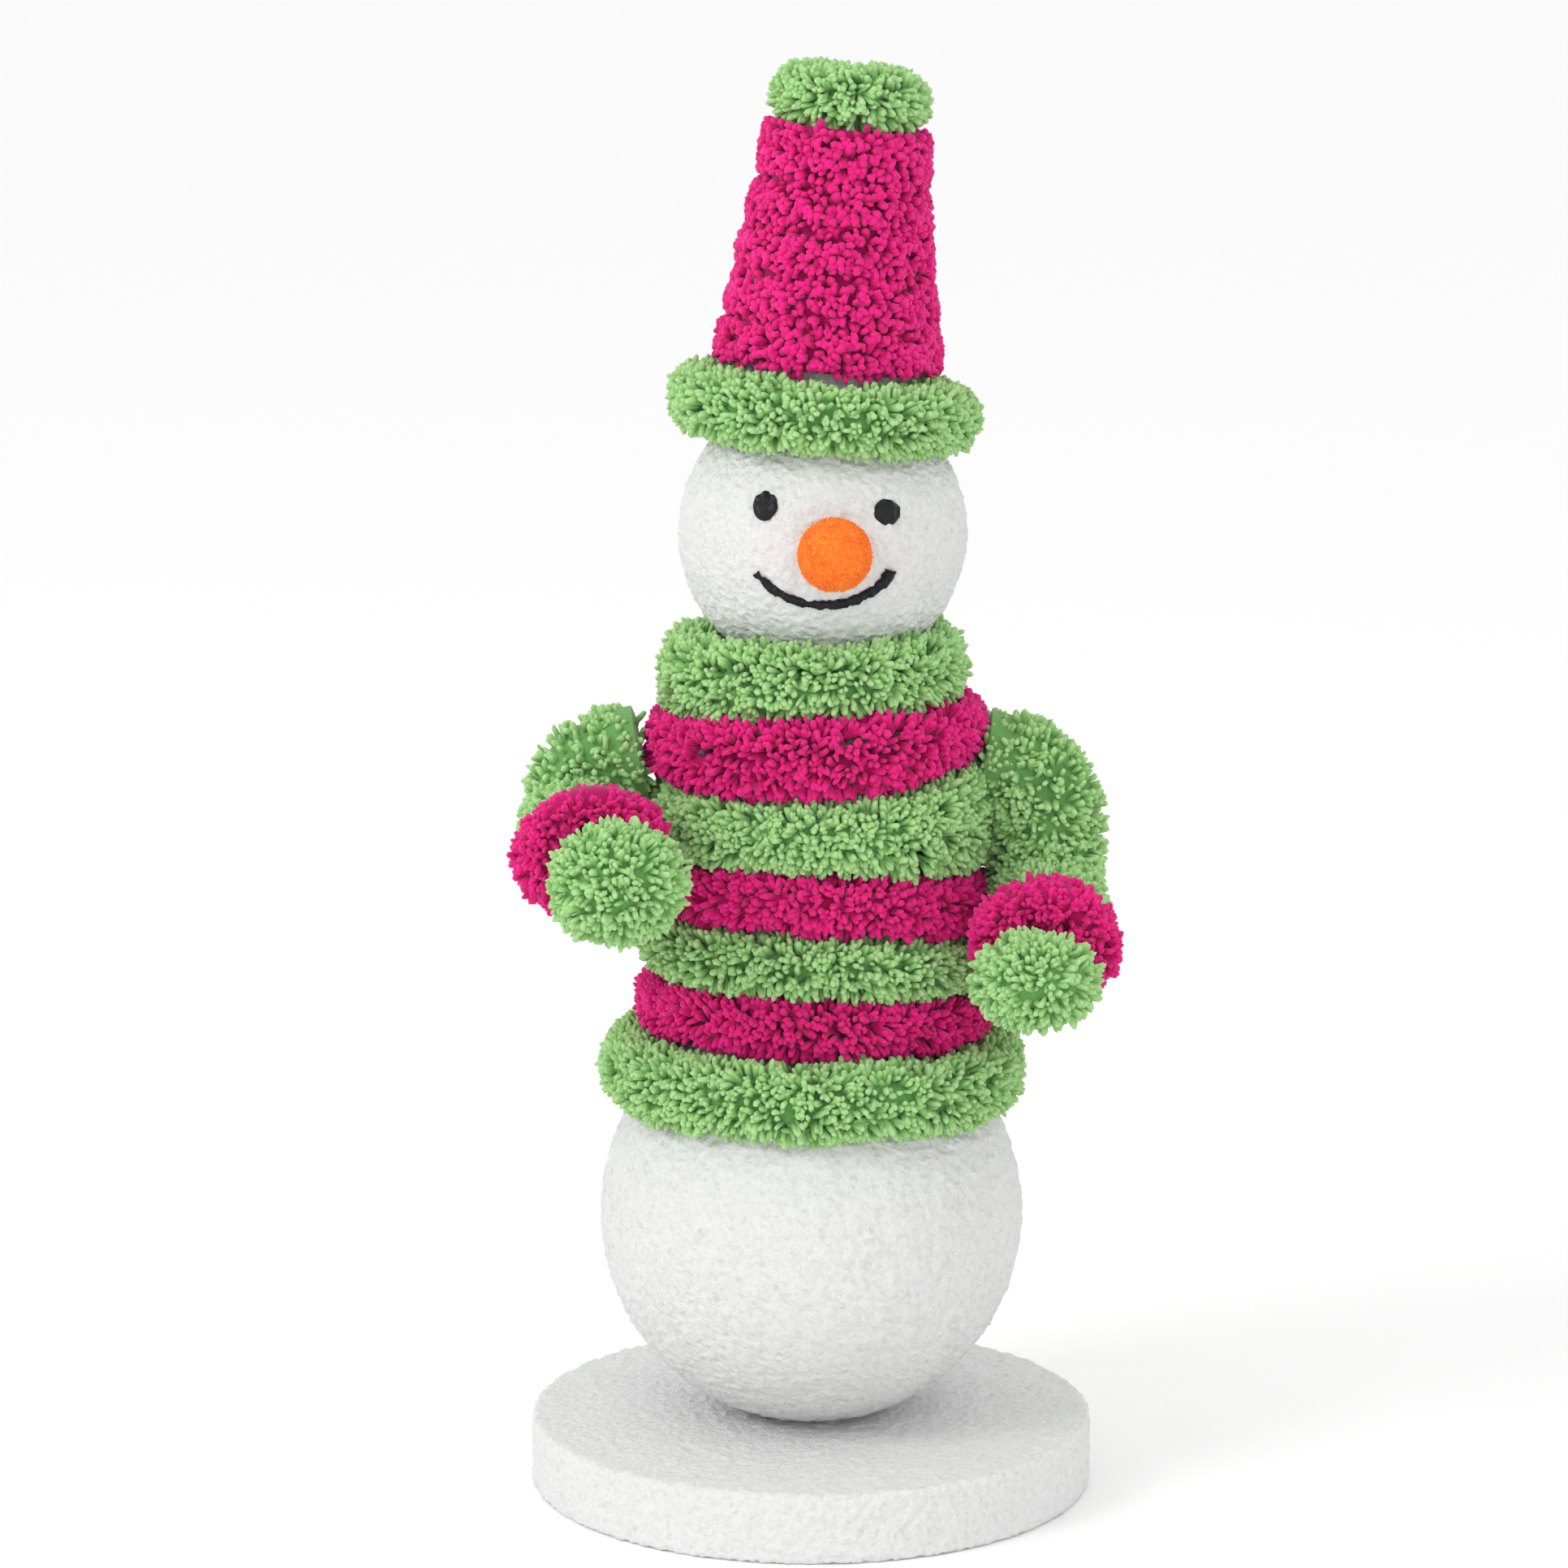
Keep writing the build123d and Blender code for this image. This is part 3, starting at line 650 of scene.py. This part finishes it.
# %% Cone builder for the crown
def cone_pile(name, frame_axes, top_edge, bottom_edge, top_radius, bottom_radius, seed,
              spacing=1.9 * MM, length=5.5 * MM, width=2.9 * MM, bulge=1.3 * MM):
    """One turn of the crown: an upright band of short tufts that swells a little in its middle."""
    origin, x_axis, y_axis, z_axis = (np.array(vector) for vector in frame_axes)
    random = np.random.default_rng(seed)
    rows = max(3, round((top_edge(0.0) - bottom_edge(0.0)) / spacing))
    tips, outward = [], []
    for row in range(rows):
        share = (row + 0.5) / rows
        radius = bottom_radius + (top_radius - bottom_radius) * share
        around = round(math.tau * radius / spacing)
        angles = (np.arange(around) + 0.5 * (row % 2) + random.normal(0, 0.22, around)) * math.tau / around
        shares = share + random.normal(0, 0.22, around) / rows
        tops = np.array([top_edge(angle) for angle in angles])
        bottoms = np.array([bottom_edge(angle) for angle in angles])
        ring_direction = np.cos(angles)[:, None] * x_axis + np.sin(angles)[:, None] * y_axis
        swell = bulge * (1 - (2 * shares - 1) ** 2)
        heights = bottoms + (tops - bottoms) * shares
        tips.append(origin + ring_direction * (radius + swell)[:, None] + z_axis * heights[:, None])
        outward.append(unit(ring_direction + z_axis * (2 * shares - 1)[:, None] * 0.35))
    tips, outward = np.concatenate(tips), np.concatenate(outward)
    tips = tips + clump_lean(tips, 0.011, seed + 7) * 0.9 * MM
    directions = ruffle(tips, outward, seed, chaos=0.5)
    lengths = length * random.uniform(0.8, 1.2, len(tips))
    widths = width * random.uniform(0.75, 1.25, len(tips))
    low, high = bottom_edge(math.pi), top_edge(math.pi)
    start_clean()
    bpy.ops.mesh.primitive_cone_add(
        vertices=48, radius1=bottom_radius - 4.2 * MM, radius2=top_radius - 4.2 * MM, depth=high - low,
        location=Vector(origin) + Vector(z_axis) * (low + high) / 2,
        rotation=Vector(z_axis).to_track_quat("Z", "Y").to_euler(),
    )
    core = settle(name_piece(bpy.context.active_object, name + "_core"))
    return grow_pile(name, tips, outward, directions, lengths, widths, seed, core)


# %% [markdown]
# ## The jumper
# The edges between the rings are measured up from the table. Each rises or falls a little towards
# one side of the figure, so the stripes wander as they do on a hand-wound jumper.

# %% Jumper edges
WORLD_AXES = ((1, 0, 0), (0, 1, 0), (0, 0, 1))


def wandering_edge(height, rise_left, rise_right, seed):
    """An edge's height round the body. The figure's left is +X."""
    def edge(angle):
        across = math.cos(angle)
        rise = rise_left * max(0.0, across) ** 1.6 + rise_right * max(0.0, -across) ** 1.6
        wander = noise.noise(Vector((math.cos(angle), math.sin(angle), seed)) * 1.6) * 1.4 * MM
        return height + rise * MM + wander
    return edge


stripe_nodes = ["stripe_1_pink", "stripe_2_green", "stripe_3_pink", "stripe_4_green", "stripe_5_pink"]
stripe_tops = [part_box(node)[1].z for node in stripe_nodes]
jumper_edges = [
    wandering_edge(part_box("collar")[1].z, 0, -1, 1),
    wandering_edge(stripe_tops[0], 0, -5, 2),
    wandering_edge(stripe_tops[1], 7, 1, 3),
    wandering_edge(stripe_tops[2], -6, 0, 4),
    wandering_edge(stripe_tops[3], -8, 0, 5),
    wandering_edge(stripe_tops[4], -7, 0, 6),
    wandering_edge(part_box("hem")[1].z, -4, 0, 7),
    wandering_edge(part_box("hem")[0].z, -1, 0, 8),
]
print("edges in mm", [round(edge(-math.pi / 2) / MM, 1) for edge in jumper_edges])

# %% Jumper rings
EDGE_OVERLAP = 1.6 * MM
COLLAR_OVERLAP = 4.0 * MM
SIDEWAYS = {
    "stripe_1_pink": 1.0 * MM, "stripe_2_green": 4.0 * MM,
    "stripe_3_pink": 3.0 * MM, "stripe_4_green": 1.0 * MM,
}
PIN_HEAD_RADIUS = 1.4 * MM
pin_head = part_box("stripe_pin")[0] + Vector((PIN_HEAD_RADIUS,) * 3)


def lifted(edge, amount):
    return lambda angle: edge(angle) + amount


jumper_nodes = ["collar"] + stripe_nodes + ["hem"]
for number, node in enumerate(jumper_nodes):
    size = box_size(node)
    outer = size.x / 2 - 0.4 * MM
    if node in stripe_nodes:
        outer = size.y / 2 - 0.4 * MM
    wire = box_size(node + "_wire").x / 2 - 1 * MM
    slot = "pink_chenille" if "pink" in node else "green_chenille"
    axes = ((SIDEWAYS.get(node, 0), 0, 0), *WORLD_AXES)
    ring = ring_pile(
        node.replace("stripe", "jumper") + "_pile", axes,
        lifted(jumper_edges[number], COLLAR_OVERLAP if number == 1 else EDGE_OVERLAP),
        lifted(jumper_edges[number + 1], -EDGE_OVERLAP),
        wire, outer, seed=20 + number, keep_clear=pin_head if node == "stripe_1_pink" else None,
    )
    dress(ring, "torso", slot, pink_pile if slot == "pink_chenille" else green_pile, node)

# %% [markdown]
# ## The hat
# The hat leans a few degrees to the figure's left, and every ring of it is laid round that leaning
# axis. The brim's middle and the heights along the axis are read from the frame. The crown is
# wound tighter than the jumper: its tufts are shorter and pack into one even cone.

# %% Hat axes
brim_middle = box_middle("hat_brim_wire")
top_middle = box_middle("hat_top")
HAT_LEAN = math.radians(4.9)
hat_z = Vector((math.sin(HAT_LEAN), 0, math.cos(HAT_LEAN)))
hat_x = Vector((math.cos(HAT_LEAN), 0, -math.sin(HAT_LEAN)))
hat_origin = Vector((head_middle.x, 0, brim_middle.z))
HAT_AXES = (tuple(hat_origin), tuple(hat_x), (0, 1, 0), tuple(hat_z))


def hat_height(point):
    return (Vector(point) - hat_origin).dot(hat_z)


lean = round(math.degrees(HAT_LEAN), 1)
print("hat leans", lean, "top ring at", round(hat_height(top_middle) / MM, 1), "mm")

# %% Brim, crown and top ring
def flat_edge(height, seed, wander=1.0 * MM):
    def edge(angle):
        return height + wander * noise.noise(Vector((math.cos(angle), math.sin(angle), seed)) * 1.8)
    return edge


BRIM_RADIUS = 56 * MM
BRIM_WIRE = 41 * MM
BRIM_HALF = 14 * MM
brim = ring_pile("brim_pile", HAT_AXES, flat_edge(BRIM_HALF, 31), flat_edge(-BRIM_HALF, 32),
                 BRIM_WIRE, BRIM_RADIUS, seed=40, sweep_angle=150, boxiness=0.85)
dress(brim, "torso", "green_chenille", green_pile, "hat_brim")

CROWN_PITCH = 16 * MM
crown_middles = [hat_height(box_middle(f"crown_turn_{number}_wire")) for number in range(1, 6)]
crown_radii = [box_size(f"crown_turn_{number}").y / 2 for number in range(1, 6)]
crown_edges = [crown_middles[0] - CROWN_PITCH / 2]
crown_edges += [middle + CROWN_PITCH / 2 for middle in crown_middles]
crown_edges[-1] += 3.5 * MM
between_radii = [(lower + upper) / 2 for lower, upper in zip(crown_radii, crown_radii[1:])]
crown_outline = [crown_radii[0] + 1.5 * MM, *between_radii, crown_radii[-1]]
for number in range(1, 6):
    turn = cone_pile(
        f"crown_pile_{number}", HAT_AXES, flat_edge(crown_edges[number], 50 + number),
        flat_edge(crown_edges[number - 1], 49 + number), crown_outline[number], crown_outline[number - 1],
        seed=50 + number,
    )
    dress(turn, "torso", "pink_chenille", pink_pile, f"crown_turn_{number}")

TOP_HALF = 13.0 * MM
top_height = hat_height(top_middle)
TOP_WIRE = 13 * MM
TOP_RADIUS = 29 * MM
top_ring = ring_pile(
    "top_pile", HAT_AXES, flat_edge(top_height + TOP_HALF, 61), flat_edge(top_height - TOP_HALF, 62),
    TOP_WIRE, TOP_RADIUS, seed=60, sweep_angle=165, boxiness=0.9,
)
dress(top_ring, "torso", "green_chenille", green_pile, "hat_top")

# %% [markdown]
# ## The arms
# Each arm is one stem: out of the jumper at the shoulder, down to the elbow, forward to the hand.
# `tube_pile` grows tufts all round a path, and is thinner where the path starts, so that the
# sleeve tucks in at the shoulder.


# %% Tube builder
def smooth_path(points, steps=64):
    """Points along a NURBS spline through the neighbourhood of the given ones."""
    curve = bpy.data.curves.new("path", "CURVE")
    curve.dimensions = "3D"
    spline = curve.splines.new("NURBS")
    spline.points.add(len(points) - 1)
    for point, place in zip(spline.points, points):
        point.co = (*place, 1)
    spline.order_u = 3
    spline.use_endpoint_u = True
    spline.resolution_u = steps
    helper = bpy.data.objects.new("path", curve)
    bpy.context.collection.objects.link(helper)
    mesh = bpy.data.meshes.new_from_object(helper)
    places = np.array([vertex.co for vertex in mesh.vertices])
    bpy.data.objects.remove(helper)
    bpy.data.meshes.remove(mesh)
    return places


def tube_pile(name, points, radius, seed, spacing=2.35 * MM, length=8.5 * MM, width=2.45 * MM):
    path = smooth_path(points)
    random = np.random.default_rng(seed)
    travelled = np.concatenate([[0], np.cumsum(np.linalg.norm(np.diff(path, axis=0), axis=1))])
    rows = round(travelled[-1] / spacing)
    stations = (np.arange(rows) + 0.5) * travelled[-1] / rows
    around = round(math.tau * radius / spacing)
    tips, outward = [], []
    for row, station in enumerate(stations):
        spots = station + random.normal(0, 0.25, around) * spacing
        spots = np.clip(spots, 0, travelled[-1])
        places = np.stack([np.interp(spots, travelled, path[:, axis]) for axis in range(3)], 1)
        ahead = np.stack([np.interp(spots + 1 * MM, travelled, path[:, axis]) for axis in range(3)], 1)
        behind = np.stack([np.interp(spots - 1 * MM, travelled, path[:, axis]) for axis in range(3)], 1)
        along = unit(ahead - behind)
        side = unit(np.cross(along, (0.1, 0.25, 0.95)))
        up = np.cross(side, along)
        angles = (np.arange(around) + 0.5 * (row % 2) + random.normal(0, 0.22, around)) * math.tau / around
        direction = side * np.cos(angles)[:, None] + up * np.sin(angles)[:, None]
        girth = radius * np.interp(spots, [0, 10 * MM], [0.80, 1.0])  # the shoulder end is tucked in
        tips.append(places + direction * girth[:, None])
        outward.append(direction)
    tips, outward = np.concatenate(tips), np.concatenate(outward)
    tips = tips + outward * (random.normal(0, 0.5, len(tips)) * MM)[:, None]
    tips = tips + clump_lean(tips, 0.011, seed + 7) * 1.3 * MM
    directions = ruffle(tips, outward, seed)
    lengths = length * random.uniform(0.8, 1.15, len(tips))
    widths = width * random.uniform(0.75, 1.25, len(tips))
    core = tube_core(name, points, radius - 4.5 * MM)
    return grow_pile(name, tips, outward, directions, lengths, widths, seed, core)


def tube_core(name, points, radius):
    curve = bpy.data.curves.new(name + "_core", "CURVE")
    curve.dimensions = "3D"
    curve.bevel_depth = radius
    curve.bevel_resolution = 2
    curve.use_fill_caps = True
    spline = curve.splines.new("NURBS")
    spline.points.add(len(points) - 1)
    for point, place in zip(spline.points, points):
        point.co = (*place, 1)
    spline.order_u = 3
    spline.use_endpoint_u = True
    spline.resolution_u = 8
    core = bpy.data.objects.new(name + "_core", curve)
    bpy.context.collection.objects.link(core)
    start_clean()
    core.select_set(True)
    bpy.context.view_layer.objects.active = core
    bpy.ops.object.convert(target="MESH")
    core = bpy.context.active_object
    if not core.data.uv_layers:
        core.data.uv_layers.new(name="OFBake")
    return core


# %% Ball of pile
def ball_pile(name, middle, half_sizes, seed, spacing=2.35 * MM, length=10 * MM, width=2.45 * MM,
              core_depth=5 * MM, roughness=1.5 * MM):
    """Tufts that burst from the middle of a rolled-up stem."""
    random = np.random.default_rng(seed)
    half = np.array(half_sizes)
    count = round(4 * math.pi * (half.mean() / spacing) ** 2)
    index = np.arange(count) + 0.5
    polar = np.arccos(1 - 2 * index / count)
    turn = math.pi * (1 + math.sqrt(5)) * index
    outward = np.stack([np.cos(turn) * np.sin(polar), np.sin(turn) * np.sin(polar), np.cos(polar)], 1)
    outward = unit(outward + random.normal(0, 0.03, outward.shape))
    tips = np.array(middle) + outward * half
    tips = tips + outward * (random.normal(0, 0.4, count) * roughness)[:, None]
    tips = tips + clump_lean(tips, 0.011, seed + 7) * roughness
    directions = ruffle(tips, outward, seed)
    lengths = length * random.uniform(0.8, 1.15, count)
    widths = width * random.uniform(0.75, 1.25, count)
    start_clean()
    bpy.ops.mesh.primitive_uv_sphere_add(segments=32, ring_count=18, radius=1, location=middle)
    core = bpy.context.active_object
    core.scale = tuple(half - core_depth)
    return grow_pile(name, tips, outward, directions, lengths, widths, seed, settle(core))


# %% Build both arms
def joint_place(name):
    joint = next(item for item in frame["joints"] if item["name"] == name)
    return Vector(joint["pos_m"])


def make_arm(side, seed):
    shoulder, elbow = joint_place(side + "_shoulder"), joint_place(side + "_elbow")
    outward = Vector((math.copysign(1, shoulder.x), 0, 0))
    hand = box_middle(side + "_mitten")
    forearm = (hand - elbow).normalized()
    cuff_middle = box_middle(side + "_cuff")
    sleeve_radius = box_size(side + "_upper_sleeve").y / 2 + 6 * MM
    bend = abs(elbow.x - shoulder.x)
    drop = Vector((0, 0, -1))
    route = [
        shoulder - outward * 7 * MM,
        shoulder - outward * 2 * MM + drop * 1 * MM,
        shoulder + outward * bend * 0.55 + drop * 8 * MM,
        shoulder + outward * (bend - 6 * MM) + drop * bend * 0.95,
        elbow - outward * 7 * MM + drop * -max(6 * MM, (shoulder.z - bend - elbow.z) * 0.5),
        elbow - outward * 6 * MM + forearm * 6 * MM,
        elbow + forearm * 26 * MM,
        cuff_middle,
    ]
    sleeve = tube_pile(side + "_sleeve_pile", [tuple(point) for point in route], sleeve_radius, seed)
    sleeve.data.materials.clear()
    sleeve.data.materials.append(green_pile)
    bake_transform(sleeve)
    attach(sleeve, side + "_upper_arm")
    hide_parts(side + "_upper_sleeve", side + "_forearm_sleeve")
    cuff_axes = frame_round(cuff_middle + Vector((0, 0, 2 * MM)), forearm, 0.84)
    cuff_outer = box_size(side + "_cuff").x / 2 + 2 * MM
    cuff_half = 12.4 * MM
    cuff = ring_pile(
        side + "_cuff_pile", cuff_axes, flat_edge(cuff_half, seed + 1), flat_edge(-cuff_half, seed + 2),
        cuff_outer - cuff_half, cuff_outer, seed=seed + 3, sweep_angle=150,
    )
    dress(cuff, side + "_forearm", "pink_chenille", pink_pile, side + "_cuff")
    size = box_size(side + "_mitten") / 2
    mitten = ball_pile(side + "_mitten_pile", hand, (size.x, size.y * 0.9, size.z), seed + 5)
    dress(mitten, side + "_forearm", "green_chenille", green_pile, side + "_mitten")


def frame_round(middle, axis, flatness):
    """Axes for a ring round the given axis that is lower than it is wide."""
    side = Vector((0, 0, 1)).cross(axis).normalized()
    return tuple(middle), tuple(side), tuple(axis.cross(side) * flatness), tuple(axis)


make_arm("left", 70)
make_arm("right", 80)
print("arms ready")

# %% [markdown]
# ## The face
# The nose is a small pom-pom of very short fibre. Eyes and smile are dimensional paint squeezed
# from a bottle: thick, glossy and a little lumpy, standing a millimetre or two proud of the foam.

# %% Nose
nose_low, nose_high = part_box("nose_pompom")
nose_radius = (nose_high.z - nose_low.z) / 2
nose_middle = (nose_low + nose_high) / 2
nose_middle.y = nose_low.y + nose_radius
orange_felt, felt_tree, felt_shader = blank_material("orange_felt")
felt_fibre = place_group(felt_tree, fibre, Scale=1100.0)
felt_colour = mix_colours(
    felt_tree, felt_fibre.outputs["Streak"], (1.0, 0.22, 0.02, 1), (1.0, 0.30, 0.05, 1)
)
felt_tree.links.new(felt_colour, felt_shader.inputs["Base Color"])
felt_shader.inputs["Roughness"].default_value = 0.9
felt_shader.inputs["Specular IOR Level"].default_value = 0.15
felt_shader.inputs["Sheen Weight"].default_value = 0.5
felt_shader.inputs["Sheen Roughness"].default_value = 0.4
felt_shader.inputs["Sheen Tint"].default_value = (1, 0.55, 0.25, 1)
add_bump(felt_tree, felt_shader, felt_fibre.outputs["Height"], 0.0005, 0.6)
nose = ball_pile("nose_fuzz", nose_middle, (nose_radius + 0.2 * MM,) * 3, 90,
                 spacing=0.7 * MM, length=2.0 * MM, width=0.5 * MM,
                 core_depth=0.9 * MM, roughness=0.3 * MM)
dress(nose, "torso", "orange_pompom", orange_felt, "nose_pompom")

# %% Black paint
black_paint, paint_tree, paint_shader = blank_material("black_paint")
paint_noise = paint_tree.nodes.new("ShaderNodeTexNoise")
paint_noise.inputs["Scale"].default_value = 420
paint_place = paint_tree.nodes.new("ShaderNodeTexCoord").outputs["Object"]
paint_tree.links.new(paint_place, paint_noise.inputs["Vector"])
paint_colour = mix_colours(
    paint_tree, paint_noise.outputs["Fac"], (0.004, 0.004, 0.005, 1), (0.018, 0.018, 0.022, 1)
)
paint_tree.links.new(paint_colour, paint_shader.inputs["Base Color"])
paint_shader.inputs["Roughness"].default_value = 0.3
paint_shader.inputs["Specular IOR Level"].default_value = 0.2
add_bump(paint_tree, paint_shader, paint_noise.outputs["Fac"], 0.0012, 0.9)


# %% Eyes
def paint_drop(name, node, seed):
    """A flattened drop that lies on the head, a little uneven as paint is when it dries."""
    middle = box_middle(node)
    outward = (middle - head_middle).normalized()
    place = head_middle + outward * (head_radius + 0.1 * MM)
    size = box_size(node)
    start_clean()
    bpy.ops.mesh.primitive_uv_sphere_add(segments=40, ring_count=24, radius=1, location=(0, 0, 0))
    drop = name_piece(bpy.context.active_object, name)
    width = size.x / 2 / math.sqrt(1 - outward.x ** 2)
    drop.scale = (width, size.z / 2 / math.sqrt(1 - outward.z ** 2), 1.5 * MM)
    settle(drop)
    for vertex in drop.data.vertices:
        lump = noise.noise(vertex.co / (2.4 * MM) + Vector((seed, 0, 0)))
        vertex.co *= 1 + 0.09 * lump
        vertex.co.z += 0.25 * MM * lump
        vertex.co.z += 0.22 * MM * math.sin(vertex.co.x / (0.62 * MM) + seed)
    drop.rotation_euler = outward.to_track_quat("Z", "Y").to_euler()
    drop.location = place
    settle(drop)
    for face in drop.data.polygons:
        face.use_smooth = True
    return dress(drop, "torso", "black_paint", black_paint, node)


paint_drop("right_eye_drop", "right_eye", 2.0)
paint_drop("left_eye_drop", "left_eye", 5.0)

# %% Smile
SMILE_POINTS = [(-23.2, -44.4, -8.5), (-19.0, -45.6, -13.0), (-12.0, -46.8, -17.2), (-4.5, -47.4, -19.2),
                (3.5, -47.4, -19.3), (11.0, -46.9, -17.6), (18.0, -45.9, -14.2), (22.3, -44.9, -9.8),
                (23.0, -44.8, -7.4)]
SMILE_THICKNESS = [1.2, 1.5, 1.6, 1.5, 1.65, 1.7, 1.7, 2.3, 2.1]
smile_curve = bpy.data.curves.new("smile_bead", "CURVE")
smile_curve.dimensions = "3D"
smile_curve.bevel_depth = 1 * MM
smile_curve.bevel_resolution = 4
smile_curve.use_fill_caps = True
smile_spline = smile_curve.splines.new("NURBS")
smile_spline.points.add(len(SMILE_POINTS) - 1)
for point, direction, thickness in zip(smile_spline.points, SMILE_POINTS, SMILE_THICKNESS):
    place = head_middle + Vector(direction).normalized() * (head_radius + 0.45 * MM)
    point.co = (*place, 1)
    point.radius = thickness
smile_spline.order_u = 3
smile_spline.use_endpoint_u = True
smile_spline.resolution_u = 28
smile = bpy.data.objects.new("smile_bead", smile_curve)
bpy.context.collection.objects.link(smile)
start_clean()
smile.select_set(True)
bpy.context.view_layer.objects.active = smile
bpy.ops.object.convert(target="MESH")
smile = bpy.context.active_object
for vertex in smile.data.vertices:
    lump = noise.noise(vertex.co / (1.9 * MM)) + 0.6 * noise.noise(vertex.co / (0.9 * MM))
    vertex.co += vertex.normal * 0.75 * MM * lump
for face in smile.data.polygons:
    face.use_smooth = True
dress(smile, "torso", "black_paint", black_paint, "smile")

# %% [markdown]
# ## What stays as CAD
# The wires, the dowel, the pick, the pin and the hidden foam keep their CAD shape and only get a
# finish: twisted bright wire, straight wood grain, dark enamel and foam.

# %% Hidden parts
wire_steel, wire_tree, wire_shader = blank_material("twisted_wire")
twist = wire_tree.nodes.new("ShaderNodeTexWave")
twist.bands_direction = "DIAGONAL"
twist.inputs["Scale"].default_value = 160
twist.inputs["Distortion"].default_value = 0.4
wire_tree.links.new(wire_tree.nodes.new("ShaderNodeTexCoord").outputs["Object"], twist.inputs["Vector"])
wire_colour = mix_colours(wire_tree, twist.outputs["Fac"], (0.28, 0.28, 0.3, 1), (0.62, 0.62, 0.64, 1))
wire_tree.links.new(wire_colour, wire_shader.inputs["Base Color"])
wire_shader.inputs["Metallic"].default_value = 1.0
wire_shader.inputs["Roughness"].default_value = 0.35
add_bump(wire_tree, wire_shader, twist.outputs["Fac"], 0.0004, 0.8)

birch, birch_tree, birch_shader = blank_material("birch_dowel")
birch_place = birch_tree.nodes.new("ShaderNodeMapping")
birch_place.inputs["Scale"].default_value = (900, 900, 30)
birch_object = birch_tree.nodes.new("ShaderNodeTexCoord").outputs["Object"]
birch_tree.links.new(birch_object, birch_place.inputs["Vector"])
birch_grain = birch_tree.nodes.new("ShaderNodeTexNoise")
birch_tree.links.new(birch_place.outputs["Vector"], birch_grain.inputs["Vector"])
birch_grain.inputs["Scale"].default_value = 1.0
birch_colour = mix_colours(
    birch_tree, birch_grain.outputs["Fac"], (0.72, 0.52, 0.31, 1), (0.5, 0.33, 0.17, 1)
)
birch_tree.links.new(birch_colour, birch_shader.inputs["Base Color"])
birch_shader.inputs["Roughness"].default_value = 0.6

pin_enamel, pin_tree, pin_shader = blank_material("pin_enamel")
pin_noise = pin_tree.nodes.new("ShaderNodeTexNoise")
pin_noise.inputs["Scale"].default_value = 900
pin_tree.links.new(pin_tree.nodes.new("ShaderNodeTexCoord").outputs["Object"], pin_noise.inputs["Vector"])
pin_colour = mix_colours(pin_tree, pin_noise.outputs["Fac"], (0.02, 0.01, 0.02, 1), (0.06, 0.03, 0.05, 1))
pin_tree.links.new(pin_colour, pin_shader.inputs["Base Color"])
pin_shader.inputs["Roughness"].default_value = 0.25

finish_of_slot = {
    "core_wire": wire_steel, "dowel_wood": birch, "pin_dark": pin_enamel, "white_foam": ball_foam,
}
slot_of_node = {item["node"]: item["material_slot"] for item in frame["record"]["subparts"]}
kept = 0
for node, piece in frame["nodes"].items():
    if not piece.hide_render:
        piece.data.materials.clear()
        piece.data.materials.append(finish_of_slot[slot_of_node[node]])
        kept += 1
print(kept, "CAD nodes keep their shape")
